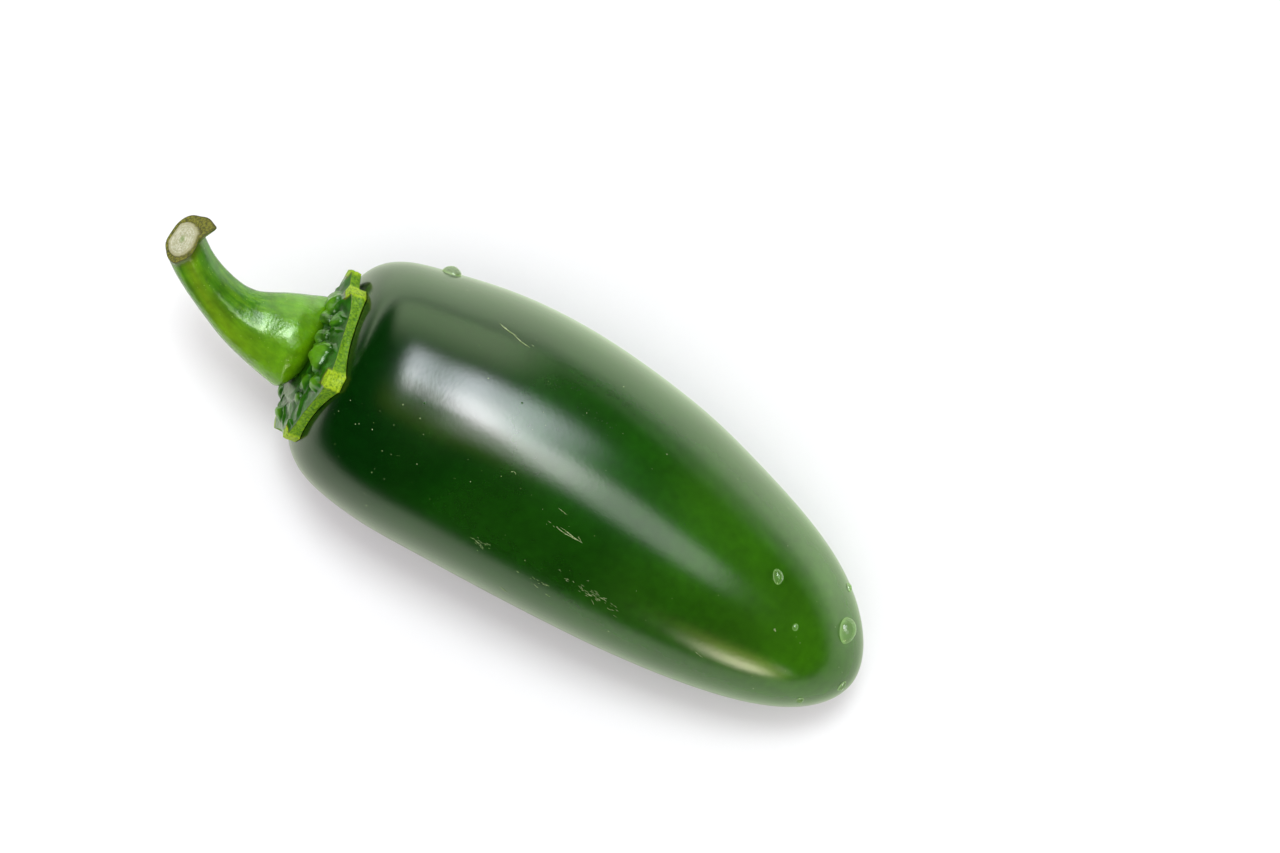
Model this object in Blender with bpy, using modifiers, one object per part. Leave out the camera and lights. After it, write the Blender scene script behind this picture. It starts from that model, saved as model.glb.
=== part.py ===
"""Green chilli pepper, lying on its side as it would on a table.

Three pieces: the pod, the calyx that clasps its shoulder, and the stem that stands on the calyx.
The pod's axis lies along X with its tip towards +X, +Z is up, and the finished pepper's origin is
the middle of its box on the table. Lengths are in millimetres until the last step of each shape.
"""

import math

import bmesh
import bpy
from mathutils import Vector

MM = 0.001

# Pod: driving dimensions.
POD_LENGTH = 76.1
POD_WIDTH = 34.4
POD_DEPTH_SHARE = 0.97  # height of a section as a share of its width
# Its turned outline from the stem end to the tip: (share of length, share of half width).
POD_OUTLINE = (
    (0.014, 0.0),
    (0.004, 0.28),
    (0.000, 0.52),
    (0.012, 0.69),
    (0.045, 0.82),
    (0.100, 0.900),
    (0.180, 0.965),
    (0.290, 1.0),
    (0.430, 0.984),
    (0.570, 0.924),
    (0.690, 0.834),
    (0.800, 0.717),
    (0.885, 0.577),
    (0.945, 0.414),
    (0.985, 0.215),
    (1.0, 0.0),
)
# Its bent middle line: (share of length, sideways, height).
POD_SPINE = (
    (0.0, -3.3, 18.1),
    (0.12, -2.7, 17.0),
    (0.25, -1.35, 16.55),
    (0.42, -0.55, 16.2),
    (0.58, -0.45, 15.2),
    (0.74, -0.85, 13.6),
    (0.88, -1.25, 11.8),
    (1.0, -2.1, 10.2),
)
LOBES = 3
LOBE_DEPTH = 0.016  # ridge height as a share of the radius
LOBE_TURN = math.radians(100.0)
LOBE_START = 0.4  # share of the lobes already there at the shoulder
LOBE_GROWTH = 3.0  # how fast they reach their full depth along the pod
# The shoulder leans as a plane does: x changes by this much for each millimetre sideways and up.
SHOULDER_LEAN_SIDE = -0.11
SHOULDER_LEAN_UP = 0.32
SHOULDER_REACH = 32.0  # how far along the pod the lean fades out
REST_SINK = 0.2  # how much of the underside the table flattens

# Calyx: a thin many-sided saucer with a thick stub of a tooth at each corner.
CALYX_SIDEWAYS = -1.2  # how far it sits from the middle of the shoulder
CALYX_AXIS = Vector((-1.0, -0.16, 0.32))  # the way it faces
CALYX_SEAT_RADIUS = 5.7
CALYX_SEAT_HEIGHT = 2.6
CALYX_EDGE_THICKNESS = 1.0
CALYX_TOOTH_THICKNESS = 1.0  # added at a tooth
CALYX_RADIUS = 10.9
CALYX_DROP = 0.9  # how far the edge follows the shoulder down
CALYX_WAIST = 0.62  # height between the seat and the edge, as a share of the seat's height
CALYX_SHELF = 0.93  # where the rounding of the edge starts, as a share of the radius
CALYX_ROUNDING = 0.8  # thickness left at the very edge, as a share
CALYX_SAG = 0.04  # how far the edge dips between two teeth, as a share of the radius
CALYX_NOTCH = 0.16  # the same between two teeth that stand close together
CLOSE_TEETH = math.radians(60.0)  # teeth further apart than this have only the sag between them
# Each tooth: (angle from the top towards +Y in degrees, share of CALYX_RADIUS).
CALYX_TEETH = (
    (-163.0, 0.97),
    (-119.0, 1.00),
    (-71.0, 0.97),
    (-7.0, 1.09),
    (64.0, 0.965),
    (94.5, 1.06),
    (152.0, 0.97),
)
TOOTH_HALF_ANGLE = math.radians(5.5)
JOIN_GAP = 0.3

# Stem: (along X, sideways, height, radius), from the calyx to the cut, in the pod's own frame.
STEM_LINE = (
    (-0.2, -4.1, 17.9, 6.7),
    (-2.6, -4.2, 18.6, 6.3),
    (-6.9, -4.8, 20.0, 5.15),
    (-10.2, -5.2, 21.3, 3.9),
    (-13.7, -4.75, 22.9, 3.0),
    (-16.8, -3.75, 24.7, 2.7),
    (-19.4, -2.3, 26.8, 2.6),
    (-21.5, -0.6, 28.9, 2.6),
)
STEM_CUT_POINT = Vector((-20.9, -0.9, 28.3))
STEM_CUT_NORMAL = Vector((-0.66, 0.0, 0.75))
BARK_FLAP = Vector((0.60, 0.80, 0.53))  # the way the torn bark stands out at the cut
BARK_FLAP_LENGTH = 2.3
BARK_FLAP_DEPTH = 0.6  # how far below the cut it starts
BARK_FLAP_SPREAD = (0.55, 0.95)  # how nearly a point must lie that way to be drawn out: none, fully

POD_GREEN = (0.020, 0.115, 0.008, 1.0)
CALYX_GREEN = (0.085, 0.235, 0.010, 1.0)
STEM_GREEN = (0.130, 0.330, 0.015, 1.0)


def clear_scene():
    for obj in list(bpy.data.objects):
        bpy.data.objects.remove(obj)


def make_collection(name):
    collection = bpy.data.collections.new(name)
    bpy.context.scene.collection.children.link(collection)
    return collection


def make_material(name, colour, roughness):
    material = bpy.data.materials.new(name)
    material.use_nodes = True
    shader = material.node_tree.nodes["Principled BSDF"]
    shader.inputs["Base Color"].default_value = colour
    shader.inputs["Roughness"].default_value = roughness
    shader.inputs["Metallic"].default_value = 0.0
    return material


def link_mesh(name, mesh, collection, material=None):
    obj = bpy.data.objects.new(name, mesh)
    collection.objects.link(obj)
    if material:
        mesh.materials.clear()
        mesh.materials.append(material)
    mesh.shade_smooth()
    return obj


def ease(value):
    """0 to 1 with a soft start and end."""
    value = min(max(value, 0.0), 1.0)
    return value * value * (3.0 - 2.0 * value)


def spline_point(before, start, end, after, share):
    """Catmull-Rom curve between start and end."""
    return tuple(
        0.5
        * (
            2.0 * b
            + (c - a) * share
            + (2.0 * a - 5.0 * b + 4.0 * c - d) * share**2
            + (3.0 * b - a - 3.0 * c + d) * share**3
        )
        for a, b, c, d in zip(before, start, end, after)
    )


def smooth_points(points, first, last, steps):
    """Steps points per span of the curve through points; first and last lie beyond its ends."""
    line = [first, *points, last]
    found = []
    for i in range(1, len(line) - 2):
        found += [spline_point(*line[i - 1 : i + 3], k / steps) for k in range(steps)]
    return [*found, points[-1]]


def spine_at(share):
    """Sideways place and height of the pod's middle line at a share of its length."""
    share = min(max(share, 0.0), 1.0)
    last = len(POD_SPINE) - 2
    i = max(k for k in range(last + 1) if POD_SPINE[k][0] <= share)
    start, end = POD_SPINE[i], POD_SPINE[i + 1]
    before = POD_SPINE[max(i - 1, 0)]
    after = POD_SPINE[min(i + 2, last + 1)]
    part = (share - start[0]) / (end[0] - start[0])
    return spline_point(before, start, end, after, part)[1:]


def turn(name, profile, steps):
    """Mesh of a profile of (radius, height) points, running from top to bottom, turned round Z."""
    mesh = bpy.data.meshes.new(name)
    corners = [(radius * MM, 0.0, height * MM) for radius, height in profile]
    edges = [(i, i + 1) for i in range(len(corners) - 1)]
    mesh.from_pydata(corners, edges, [])
    obj = bpy.data.objects.new(name, mesh)
    bpy.context.scene.collection.objects.link(obj)
    screw = obj.modifiers.new("turn", "SCREW")
    screw.steps = steps
    screw.render_steps = steps
    screw.use_merge_vertices = True
    screw.merge_threshold = 0.00001
    turned = baked(obj)
    bpy.data.objects.remove(obj)
    return turned


def baked(obj):
    """The object's mesh with its modifiers applied."""
    graph = bpy.context.evaluated_depsgraph_get()
    graph.update()
    return bpy.data.meshes.new_from_object(obj.evaluated_get(graph))


def pod_place(x, radius, angle):
    """A point of the pod from its place on the turned outline; angle 0 is +Y and 90 degrees is up."""
    share = x / POD_LENGTH
    depth = LOBE_DEPTH * ease(LOBE_GROWTH * share + LOBE_START)
    lobe = 1.0 + depth * math.cos(LOBES * (angle - LOBE_TURN))
    side = radius * lobe * math.cos(angle)
    rise = radius * lobe * POD_DEPTH_SHARE * math.sin(angle)
    lean = ease(1.0 - x / SHOULDER_REACH)
    y, z = spine_at(share)
    along = x + lean * (SHOULDER_LEAN_SIDE * side + SHOULDER_LEAN_UP * rise)
    return Vector((along, y + side, z + rise - REST_SINK))


def pod_mesh(name, rings_per_span, steps):
    outline = [(share * POD_LENGTH, half * POD_WIDTH / 2.0) for share, half in POD_OUTLINE]
    first = (outline[1][0], -outline[1][1])
    last = (outline[-2][0], -outline[-2][1])
    profile = smooth_points(outline, first, last, rings_per_span)
    mesh = turn(name, [(abs(radius), -x) for x, radius in profile], steps)
    for vertex in mesh.vertices:
        rise, side, depth = vertex.co / MM
        vertex.co = pod_place(-depth, math.hypot(side, rise), math.atan2(rise, side)) * MM
    return mesh


def slice_flat(mesh, point, normal):
    """Cuts the mesh by a plane, takes away what lies beyond it and closes the cut."""
    cut = bmesh.new()
    cut.from_mesh(mesh)
    bmesh.ops.recalc_face_normals(cut, faces=cut.faces)
    everything = [*cut.verts, *cut.edges, *cut.faces]
    bmesh.ops.bisect_plane(cut, geom=everything, plane_co=point, plane_no=normal, clear_outer=True)
    rim = [edge for edge in cut.edges if edge.is_boundary]
    bmesh.ops.contextual_create(cut, geom=rim)
    bmesh.ops.recalc_face_normals(cut, faces=cut.faces)
    cut.to_mesh(mesh)
    cut.free()


def make_pod(collection, material):
    mesh = pod_mesh("pod", 2, 56)
    slice_flat(mesh, Vector((0.0, 0.0, 0.0)), Vector((0.0, 0.0, -1.0)))
    return link_mesh("pod", mesh, collection, material)


def make_pod_cutter(collection):
    """The pod grown by the gap that a piece resting on it keeps."""
    cutter = link_mesh("pod_cutter", pod_mesh("pod_cutter", 2, 56), collection)
    grow = cutter.modifiers.new("grow", "DISPLACE")
    grow.strength = JOIN_GAP * MM
    grow.mid_level = 0.0
    cutter.hide_render = True
    cutter.display_type = "WIRE"
    return cutter


def calyx_frame():
    """(centre, axis towards the stem, up, side) of the calyx, square to the leaning shoulder."""
    axis = CALYX_AXIS.normalized()
    up = (Vector((0.0, 0.0, 1.0)) - axis * axis.z).normalized()
    side = axis.cross(up)
    y, z = spine_at(0.0)
    centre = Vector((SHOULDER_LEAN_SIDE * CALYX_SIDEWAYS, y + CALYX_SIDEWAYS, z - REST_SINK))
    return centre, axis, up, side


def calyx_edge(angle):
    """(share of CALYX_RADIUS, how much of a tooth) at an angle in radians: straight sides between teeth."""
    turns = sorted((math.radians(degrees), share) for degrees, share in CALYX_TEETH)
    turns = [(turns[-1][0] - 2 * math.pi, turns[-1][1]), *turns, (turns[0][0] + 2 * math.pi, turns[0][1])]
    for (start, first), (end, last) in zip(turns, turns[1:]):
        if start <= angle <= end:
            break
    span = end - start
    twist = math.sin(span)
    reach = first * last * twist / (first * math.sin(angle - start) + last * math.sin(end - angle))
    dip = CALYX_NOTCH + (CALYX_SAG - CALYX_NOTCH) * ease(span / CLOSE_TEETH)
    reach *= 1.0 - dip * ease(2.0 * min(angle - start, end - angle) / span)
    near = min(angle - start, end - angle)
    return reach, ease(1.0 - near / (2.0 * TOOTH_HALF_ANGLE))


def calyx_mesh(steps):
    edge, seat = CALYX_RADIUS, CALYX_SEAT_RADIUS
    profile = (
        (0.0, CALYX_SEAT_HEIGHT),
        (seat, CALYX_SEAT_HEIGHT),
        (seat + 0.5, CALYX_SEAT_HEIGHT - 0.5),
        ((seat + edge) / 2.0, CALYX_SEAT_HEIGHT * CALYX_WAIST),
        (edge * CALYX_SHELF, CALYX_EDGE_THICKNESS),
        (edge, CALYX_EDGE_THICKNESS * CALYX_ROUNDING),
        (edge, -CALYX_EDGE_THICKNESS),
        (seat, -2.0 * CALYX_EDGE_THICKNESS),
        (0.0, -2.0 * CALYX_EDGE_THICKNESS),
    )
    mesh = turn("calyx", profile, steps)
    centre, axis, up, side = calyx_frame()
    for vertex in mesh.vertices:
        x, y, height = vertex.co / MM
        radius = math.hypot(x, y)
        angle = math.atan2(y, x)
        reach, tooth = calyx_edge(angle)
        out = ease((radius - seat) / (edge - seat))
        radius *= 1.0 + out * (reach - 1.0)
        height += out * (tooth * CALYX_TOOTH_THICKNESS if height > 0.0 else 0.0)
        height -= CALYX_DROP * (radius / edge) ** 4
        vertex.co = (centre + axis * height + (up * math.cos(angle) + side * math.sin(angle)) * radius) * MM
    return mesh


def make_calyx(collection, material, cutter):
    calyx = link_mesh("calyx", calyx_mesh(120), collection, material)
    fit = calyx.modifiers.new("fit_to_pod", "BOOLEAN")
    fit.operation = "DIFFERENCE"
    fit.object = cutter
    return calyx


def stem_blank():
    """The stem as a tapered tube, longer than needed at both ends, as a mesh."""
    curve = bpy.data.curves.new("stem_line", "CURVE")
    curve.dimensions = "3D"
    curve.bevel_depth = 1.0
    curve.bevel_resolution = 6
    curve.use_fill_caps = True
    points = smooth_points(STEM_LINE, STEM_LINE[0], STEM_LINE[-1], 4)
    spline = curve.splines.new("POLY")
    spline.points.add(len(points) - 1)
    for point, (x, y, z, radius) in zip(spline.points, points):
        point.co = (x * MM, y * MM, (z - REST_SINK) * MM, 1.0)
        point.radius = radius * MM
    obj = bpy.data.objects.new("stem_line", curve)
    bpy.context.scene.collection.objects.link(obj)
    mesh = baked(obj)
    bpy.data.objects.remove(obj)
    weld = bmesh.new()
    weld.from_mesh(mesh)
    bmesh.ops.remove_doubles(weld, verts=weld.verts, dist=0.00001)
    weld.to_mesh(mesh)
    weld.free()
    return mesh


def make_stem(collection, material):
    mesh = stem_blank()
    centre, axis, _, _ = calyx_frame()
    seat = (centre + axis * (CALYX_SEAT_HEIGHT + JOIN_GAP)) * MM
    slice_flat(mesh, seat, -axis)
    cut_point = (STEM_CUT_POINT - Vector((0.0, 0.0, REST_SINK))) * MM
    cut_normal = STEM_CUT_NORMAL.normalized()
    slice_flat(mesh, cut_point, cut_normal)
    flap = BARK_FLAP.normalized()
    none, fully = BARK_FLAP_SPREAD
    for vertex in mesh.vertices:
        from_cut = vertex.co - cut_point
        if from_cut.dot(cut_normal) < -BARK_FLAP_DEPTH * MM:
            continue
        towards = from_cut.normalized().dot(flap)
        vertex.co += flap * BARK_FLAP_LENGTH * MM * ease((towards - none) / (fully - none))
    return link_mesh("stem", mesh, collection, material)


def stand_on_origin(parts):
    """The move that puts the middle of the pepper's box, on the table, at the origin."""
    bpy.context.view_layer.update()
    corners = []
    graph = bpy.context.evaluated_depsgraph_get()
    for part in parts:
        found = part.evaluated_get(graph)
        corners += [found.matrix_world @ vertex.co for vertex in found.data.vertices]
    middle = [
        (min(corner[i] for corner in corners) + max(corner[i] for corner in corners)) / 2.0
        for i in range(2)
    ]
    table = min(corner[2] for corner in corners)
    return Vector((-middle[0], -middle[1], -table))


def main():
    clear_scene()
    pepper = make_collection("chilli_pepper")
    cutters = make_collection("cutters")
    cutter = make_pod_cutter(cutters)
    parts = [
        make_pod(pepper, make_material("pod_skin", POD_GREEN, 0.28)),
        make_calyx(pepper, make_material("calyx_skin", CALYX_GREEN, 0.4), cutter),
        make_stem(pepper, make_material("stem_skin", STEM_GREEN, 0.38)),
    ]
    frame = bpy.data.objects.new("pepper_frame", None)
    pepper.objects.link(frame)
    for obj in [*parts, cutter]:
        obj.parent = frame
    frame.location = stand_on_origin(parts)


main()
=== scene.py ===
"""A green chilli pepper: its glossy pod, knobbly calyx, cut stem, skin marks and water drops.

The shapes are worked out in the plant's own frame, in millimetres, with the pod's axis along X and
its tip towards +X. They are then moved to the row's frame, in metres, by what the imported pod's box says.
"""

import math

import bmesh
import bpy
import numpy as np
from mathutils import Matrix, Vector, noise


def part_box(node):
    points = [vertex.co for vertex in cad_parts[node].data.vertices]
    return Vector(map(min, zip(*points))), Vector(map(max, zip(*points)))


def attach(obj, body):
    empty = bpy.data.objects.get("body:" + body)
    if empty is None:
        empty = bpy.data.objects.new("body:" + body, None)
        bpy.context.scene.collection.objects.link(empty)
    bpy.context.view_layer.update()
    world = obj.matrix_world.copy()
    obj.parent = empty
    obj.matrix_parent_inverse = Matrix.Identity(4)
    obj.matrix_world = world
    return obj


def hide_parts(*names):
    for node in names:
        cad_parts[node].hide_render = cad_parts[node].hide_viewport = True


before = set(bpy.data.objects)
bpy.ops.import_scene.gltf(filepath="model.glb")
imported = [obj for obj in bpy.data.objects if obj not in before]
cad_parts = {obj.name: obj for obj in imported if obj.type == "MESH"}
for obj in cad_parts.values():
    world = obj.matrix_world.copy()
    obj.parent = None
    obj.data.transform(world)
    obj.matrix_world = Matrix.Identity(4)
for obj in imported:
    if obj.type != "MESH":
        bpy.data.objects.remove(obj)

bl_info = {
    "name": "Green chilli pepper",
    "version": (1, 0, 0),
    "blender": (4, 5, 0),
    "location": "3D View > Sidebar > Chilli",
    "description": "Grows a green chilli pepper on its packed frame and sets it in a plain studio",
    "category": "Add Mesh",
}

MM = 0.001
FULL_TURN = 2.0 * math.pi
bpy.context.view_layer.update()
POD, CALYX, STEM = "glossy_pod", "knobbly_calyx", "curved_stem"

# Pod: its turned outline from the stem end to the tip (share of length, share of half width).
POD_LENGTH = 76.1
POD_WIDTH = 34.4
POD_DEPTH_SHARE = 0.97
POD_OUTLINE = (
    (0.014, 0.0),
    (0.004, 0.28),
    (0.000, 0.52),
    (0.012, 0.69),
    (0.045, 0.82),
    (0.100, 0.900),
    (0.180, 0.965),
    (0.290, 1.0),
    (0.430, 0.984),
    (0.570, 0.924),
    (0.690, 0.834),
    (0.800, 0.717),
    (0.885, 0.577),
    (0.945, 0.414),
    (0.985, 0.215),
    (1.0, 0.0),
)
# Its bent middle line (share of length, sideways, height).
POD_SPINE = (
    (0.0, -3.3, 18.1),
    (0.12, -2.7, 17.0),
    (0.25, -1.35, 16.55),
    (0.42, -0.55, 16.2),
    (0.58, -0.45, 15.2),
    (0.74, -0.85, 13.6),
    (0.88, -1.25, 11.8),
    (1.0, -2.1, 10.2),
)
LOBES = 3
LOBE_DEPTH = 0.016
LOBE_TURN = math.radians(100.0)
SHOULDER_LEAN_SIDE = -0.11
SHOULDER_LEAN_UP = 0.32
SHOULDER_REACH = 32.0
REST_SINK = 0.2

# Calyx: a thin saucer draped on the shoulder, with a trimmed tooth at each corner.
CALYX_SIDEWAYS = -1.2
CALYX_AXIS = (-1.0, -0.16, 0.32)
CALYX_RADIUS = 10.9
CALYX_SEAT_RADIUS = 5.7
CALYX_SEAT_HEIGHT = 2.6
# Each tooth: (degrees from the top towards +Y, share of CALYX_RADIUS, thickness, lift off the pod).
CALYX_TEETH = (
    (-163.0, 0.97, 1.7, 0.2),
    (-119.0, 1.00, 1.8, 0.1),
    (-71.0, 0.97, 1.7, 0.0),
    (-7.0, 1.09, 2.1, 0.0),
    (64.0, 0.965, 2.2, 0.0),
    (94.5, 1.06, 1.3, 0.9),
    (152.0, 0.97, 1.7, 0.2),
)
TOOTH_HALF_WIDTH = 0.95
TOOTH_REACH = 0.12
TOOTH_CRISPNESS = 0.04
EDGE_THICKNESS = 1.2
CALYX_INNER_RADIUS = 3.5
CALYX_THINNEST = 0.35
POD_GAP = 0.05
EDGE_STEPS = 15
# How its knobs and ridges are bent out of true: (how far, size of the bends, seeds along and across).
RELIEF_BENDS = ((0.60, 1.6, (21.0, 33.0)), (0.16, 0.6, (24.0, 36.0)))
# Each knob on its outer face: (angle in degrees, distance from the middle, half its length towards the
# edge, half its width, height).
CALYX_KNOBS = (
    (6.0, 7.0, 1.9, 2.4, 1.45),
    (-16.0, 9.4, 1.2, 1.35, 1.0),
    (-47.0, 7.0, 1.1, 1.5, 0.6),
    (76.0, 6.9, 2.0, 3.2, 1.1),
    (44.0, 7.6, 1.4, 1.5, 0.6),
    (27.0, 5.9, 1.1, 1.6, 0.9),
    (57.0, 6.0, 1.2, 1.8, 1.0),
    (-27.0, 6.6, 1.1, 1.7, 0.6),
    (110.0, 7.9, 1.2, 1.6, 0.6),
    (136.0, 8.1, 1.1, 1.3, 0.8),
    (171.0, 8.0, 1.2, 1.8, 1.0),
    (-104.0, 8.0, 1.1, 1.4, 0.9),
    (-141.0, 8.1, 1.2, 1.8, 0.8),
)
# Ridges across its outer face: (angle and distance of the start, of the end, half width, height).
CALYX_RIDGES = (
    (-24.0, 7.9, -56.0, 9.4, 0.30, 0.45),
    (-56.0, 9.4, -70.0, 10.0, 0.30, 0.35),
    (22.0, 6.6, 12.0, 10.2, 0.28, 0.35),
    (36.0, 6.2, 30.0, 9.9, 0.25, 0.45),
    (47.0, 6.0, 44.0, 9.6, 0.22, 0.40),
    (58.0, 6.1, 60.0, 9.4, 0.25, 0.50),
    (72.0, 6.2, 78.0, 9.2, 0.25, 0.45),
    (88.0, 6.4, 90.0, 9.6, 0.25, 0.40),
    (118.0, 6.5, 120.0, 9.6, 0.25, 0.35),
    (158.0, 6.5, 155.0, 9.6, 0.25, 0.35),
    (-120.0, 6.5, -119.0, 9.6, 0.25, 0.35),
    (-85.0, 6.5, -80.0, 9.6, 0.25, 0.40),
    (-163.0, 6.5, -160.0, 9.6, 0.25, 0.35),
)

# Stem: (along X, sideways, height, radius), from the calyx to past the cut.
STEM_LINE = (
    (-0.2, -4.1, 17.9, 6.7),
    (-2.6, -4.2, 18.6, 6.3),
    (-6.9, -4.8, 20.0, 5.15),
    (-10.2, -5.2, 21.3, 3.9),
    (-13.7, -4.75, 22.9, 3.0),
    (-16.8, -3.75, 24.7, 2.65),
    (-19.4, -2.3, 26.8, 2.5),
    (-21.5, -0.6, 28.9, 2.5),
)
STEM_CUT_POINT = (-20.9, -0.9, 28.3)
STEM_CUT_NORMAL = (-0.66, 0.0, 0.75)
BARK_FLAP = (0.60, 0.80, 0.53)
BARK_FLAP_LENGTH = 2.3
PITH_RADIUS = 2.2
PITH_RISE = 0.16
BARK_THICKNESS = 0.45
GROWTH_RINGS = 38.0
# Ribs along it: (height, how many, turn in radians).
STEM_RIBS = ((0.6, 5.0, 0.4), (0.4, 3.0, 1.1), (0.3, 8.0, 2.0))


# Small tools for shapes


def ease(value):
    """0 to 1 with a soft start and end."""
    value = np.clip(value, 0.0, 1.0)
    return value * value * (3.0 - 2.0 * value)


def bell(*values):
    """1 where all the values are 0, falling softly away to 0."""
    return np.exp(-sum(value**2 for value in values))


def angles_round(sides):
    return np.arange(sides) * FULL_TURN / sides


def wrapped(angle):
    """An angle in radians from minus half a turn to half a turn."""
    return (angle + math.pi) % FULL_TURN - math.pi


def unit(vector):
    vector = np.asarray(vector, float)
    return vector / np.linalg.norm(vector, axis=-1, keepdims=True)


def natural_spline(knots, values, places):
    """The smoothest curve that passes through values at knots, read at places."""
    knots = np.asarray(knots, float)
    values = np.asarray(values, float).reshape(len(knots), -1)
    places = np.asarray(places, float)
    gaps = np.diff(knots)
    system = np.eye(len(knots))
    right = np.zeros_like(values)
    for i in range(1, len(knots) - 1):
        system[i, i - 1 : i + 2] = gaps[i - 1], 2.0 * (gaps[i - 1] + gaps[i]), gaps[i]
        slopes = (values[i + 1] - values[i]) / gaps[i] - (values[i] - values[i - 1]) / gaps[i - 1]
        right[i] = 6.0 * slopes
    bends = np.linalg.solve(system, right)
    i = np.clip(np.searchsorted(knots, places, side="right") - 1, 0, len(knots) - 2)
    gap = gaps[i][..., None]
    back = (knots[i + 1] - places)[..., None] / gap
    on = 1.0 - back
    bend = ((back**3 - back) * bends[i] + (on**3 - on) * bends[i + 1]) * gap**2 / 6.0
    return back * values[i] + on * values[i + 1] + bend


def chord_lengths(points):
    """How far along a line each of its points is."""
    steps = np.linalg.norm(np.diff(points, axis=0), axis=-1)
    return np.concatenate([[0.0], np.cumsum(steps)])


def unevenness(points, size, seed):
    """Smooth noise from about -1 to 1 at points in millimetres, with bumps of the given size."""
    flat = np.asarray(points).reshape(-1, 3) / size + seed
    found = [noise.noise(Vector(place)) for place in flat.tolist()]
    return np.array(found).reshape(np.asarray(points).shape[:-1])


def grid_normals(grid):
    """Normals of a grid of points that closes round on itself, pointing away from its axis."""
    along = np.gradient(grid, axis=0)
    around = np.roll(grid, -1, axis=1) - np.roll(grid, 1, axis=1)
    normals = np.cross(around, along)
    outward = grid - grid.mean(axis=1, keepdims=True)
    flip = np.sign((normals * outward).sum(axis=-1).mean())
    return flip * normals / np.maximum(np.linalg.norm(normals, axis=-1, keepdims=True), 1e-9)


def closed_skin(name, grid, poles, attributes):
    """A closed object in the row's frame from rings of points, in the plant's frame, and two poles.

    attributes holds, by name, a value or a vector for each point of the grid and for each pole."""
    rings, sides = grid.shape[:2]
    points = np.concatenate([poles[:1], grid.reshape(-1, 3), poles[1:]])
    ids = np.arange(rings * sides).reshape(rings, sides) + 1
    after = np.roll(ids, -1, axis=1)
    quads = np.stack([ids[:-1], after[:-1], after[1:], ids[1:]], axis=-1).reshape(-1, 4)
    first, last = 0, rings * sides + 1
    caps = [(first, b, a) for a, b in zip(ids[0].tolist(), after[0].tolist())]
    caps += [(last, a, b) for a, b in zip(ids[-1].tolist(), after[-1].tolist())]
    mesh = bpy.data.meshes.new(name)
    mesh.from_pydata(((points + ROW_SHIFT) * MM).tolist(), [], quads.tolist() + caps)
    for label, (at_start, at_grid, at_end) in attributes.items():
        shape = (-1, 3) if np.ndim(at_start) else (-1,)
        joined = np.concatenate([np.reshape(part, shape) for part in (at_start, at_grid, at_end)])
        kind, key = ("FLOAT_VECTOR", "vector") if np.ndim(at_start) else ("FLOAT", "value")
        attribute = mesh.attributes.new(label, kind, "POINT")
        attribute.data.foreach_set(key, joined.astype(np.float32).ravel())
    face_out(mesh)
    mesh.shade_smooth()
    return link_object(name, mesh)


def face_out(mesh):
    """Turns every face of a closed mesh outwards."""
    cleaned = bmesh.new()
    cleaned.from_mesh(mesh)
    bmesh.ops.recalc_face_normals(cleaned, faces=cleaned.faces)
    cleaned.to_mesh(mesh)
    cleaned.free()


def link_object(name, data):
    obj = bpy.data.objects.new(name, data)
    bpy.context.scene.collection.objects.link(obj)
    return obj


def finish_piece(obj, material, node=None):
    """Gives a finished piece its material and its place in the frame."""
    obj.data.materials.clear()
    obj.data.materials.append(material)
    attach(obj, "root")
    if node:
        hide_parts(node)
    return obj


# Pod


def pod_outline(places):
    """(x, radius) of the turned outline at places from 0, the middle of the shoulder, to 1, the tip."""
    points = np.array(POD_OUTLINE) * (POD_LENGTH, POD_WIDTH / 2.0)
    far_side = (1.0, -1.0)
    beyond = 3
    before, after = points[beyond:0:-1] * far_side, points[-2 : -2 - beyond : -1] * far_side
    line = np.concatenate([before, points, after])
    lengths = chord_lengths(line)
    start, end = lengths[beyond], lengths[-1 - beyond]
    return natural_spline(lengths, line, start + (end - start) * np.asarray(places))


def pod_place(x, radius, angle):
    """Points of the pod from their place on the turned outline; angle 0 is +Y and 90 degrees is up."""
    share = np.clip(x / POD_LENGTH, 0.0, 1.0)
    lobe = 1.0 + LOBE_DEPTH * ease(3.0 * share + 0.4) * np.cos(LOBES * (angle - LOBE_TURN))
    side = radius * lobe * np.cos(angle)
    rise = radius * lobe * POD_DEPTH_SHARE * np.sin(angle)
    lean = ease(1.0 - x / SHOULDER_REACH)
    shares, *middle = zip(*POD_SPINE)
    spine = natural_spline(shares, np.array(middle).T, share)
    along = x + lean * (SHOULDER_LEAN_SIDE * side + SHOULDER_LEAN_UP * rise)
    return np.stack([along, spine[..., 0] + side, spine[..., 1] + rise - REST_SINK], axis=-1)


def lie_down(points, softness=0.25):
    """Presses what is below the table flat, with a soft edge to the patch."""
    height = points[..., 2]
    pressed = np.where(height > softness, height, (height + softness) ** 2 / (4.0 * softness))
    points[..., 2] = np.where(height < -softness, 0.0, pressed)
    return points


def pod_grid(rings, sides):
    """Rings of points of the bare pod, each ring's x and radius, and the angles round a ring."""
    places = np.arange(1, rings) / rings
    x, radius = pod_outline(places).T
    angle = angles_round(sides)
    return pod_place(x[:, None], radius[:, None], angle[None, :]), x, radius, angle


def pod_poles():
    x, radius = pod_outline([0.0, 1.0]).T
    return pod_place(x, radius * 0.0, np.zeros(2))


def row_shift():
    """What moves the plant's frame to the row's, in millimetres: the two pods' boxes share a middle."""
    low, high = (np.array(corner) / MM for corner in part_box("pod"))
    grid = pod_grid(120, 90)[0].reshape(-1, 3)
    shift = (low + high - grid.min(axis=0) - grid.max(axis=0)) / 2.0
    shift[2] = low[2]
    return shift


ROW_SHIFT = row_shift()


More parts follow.
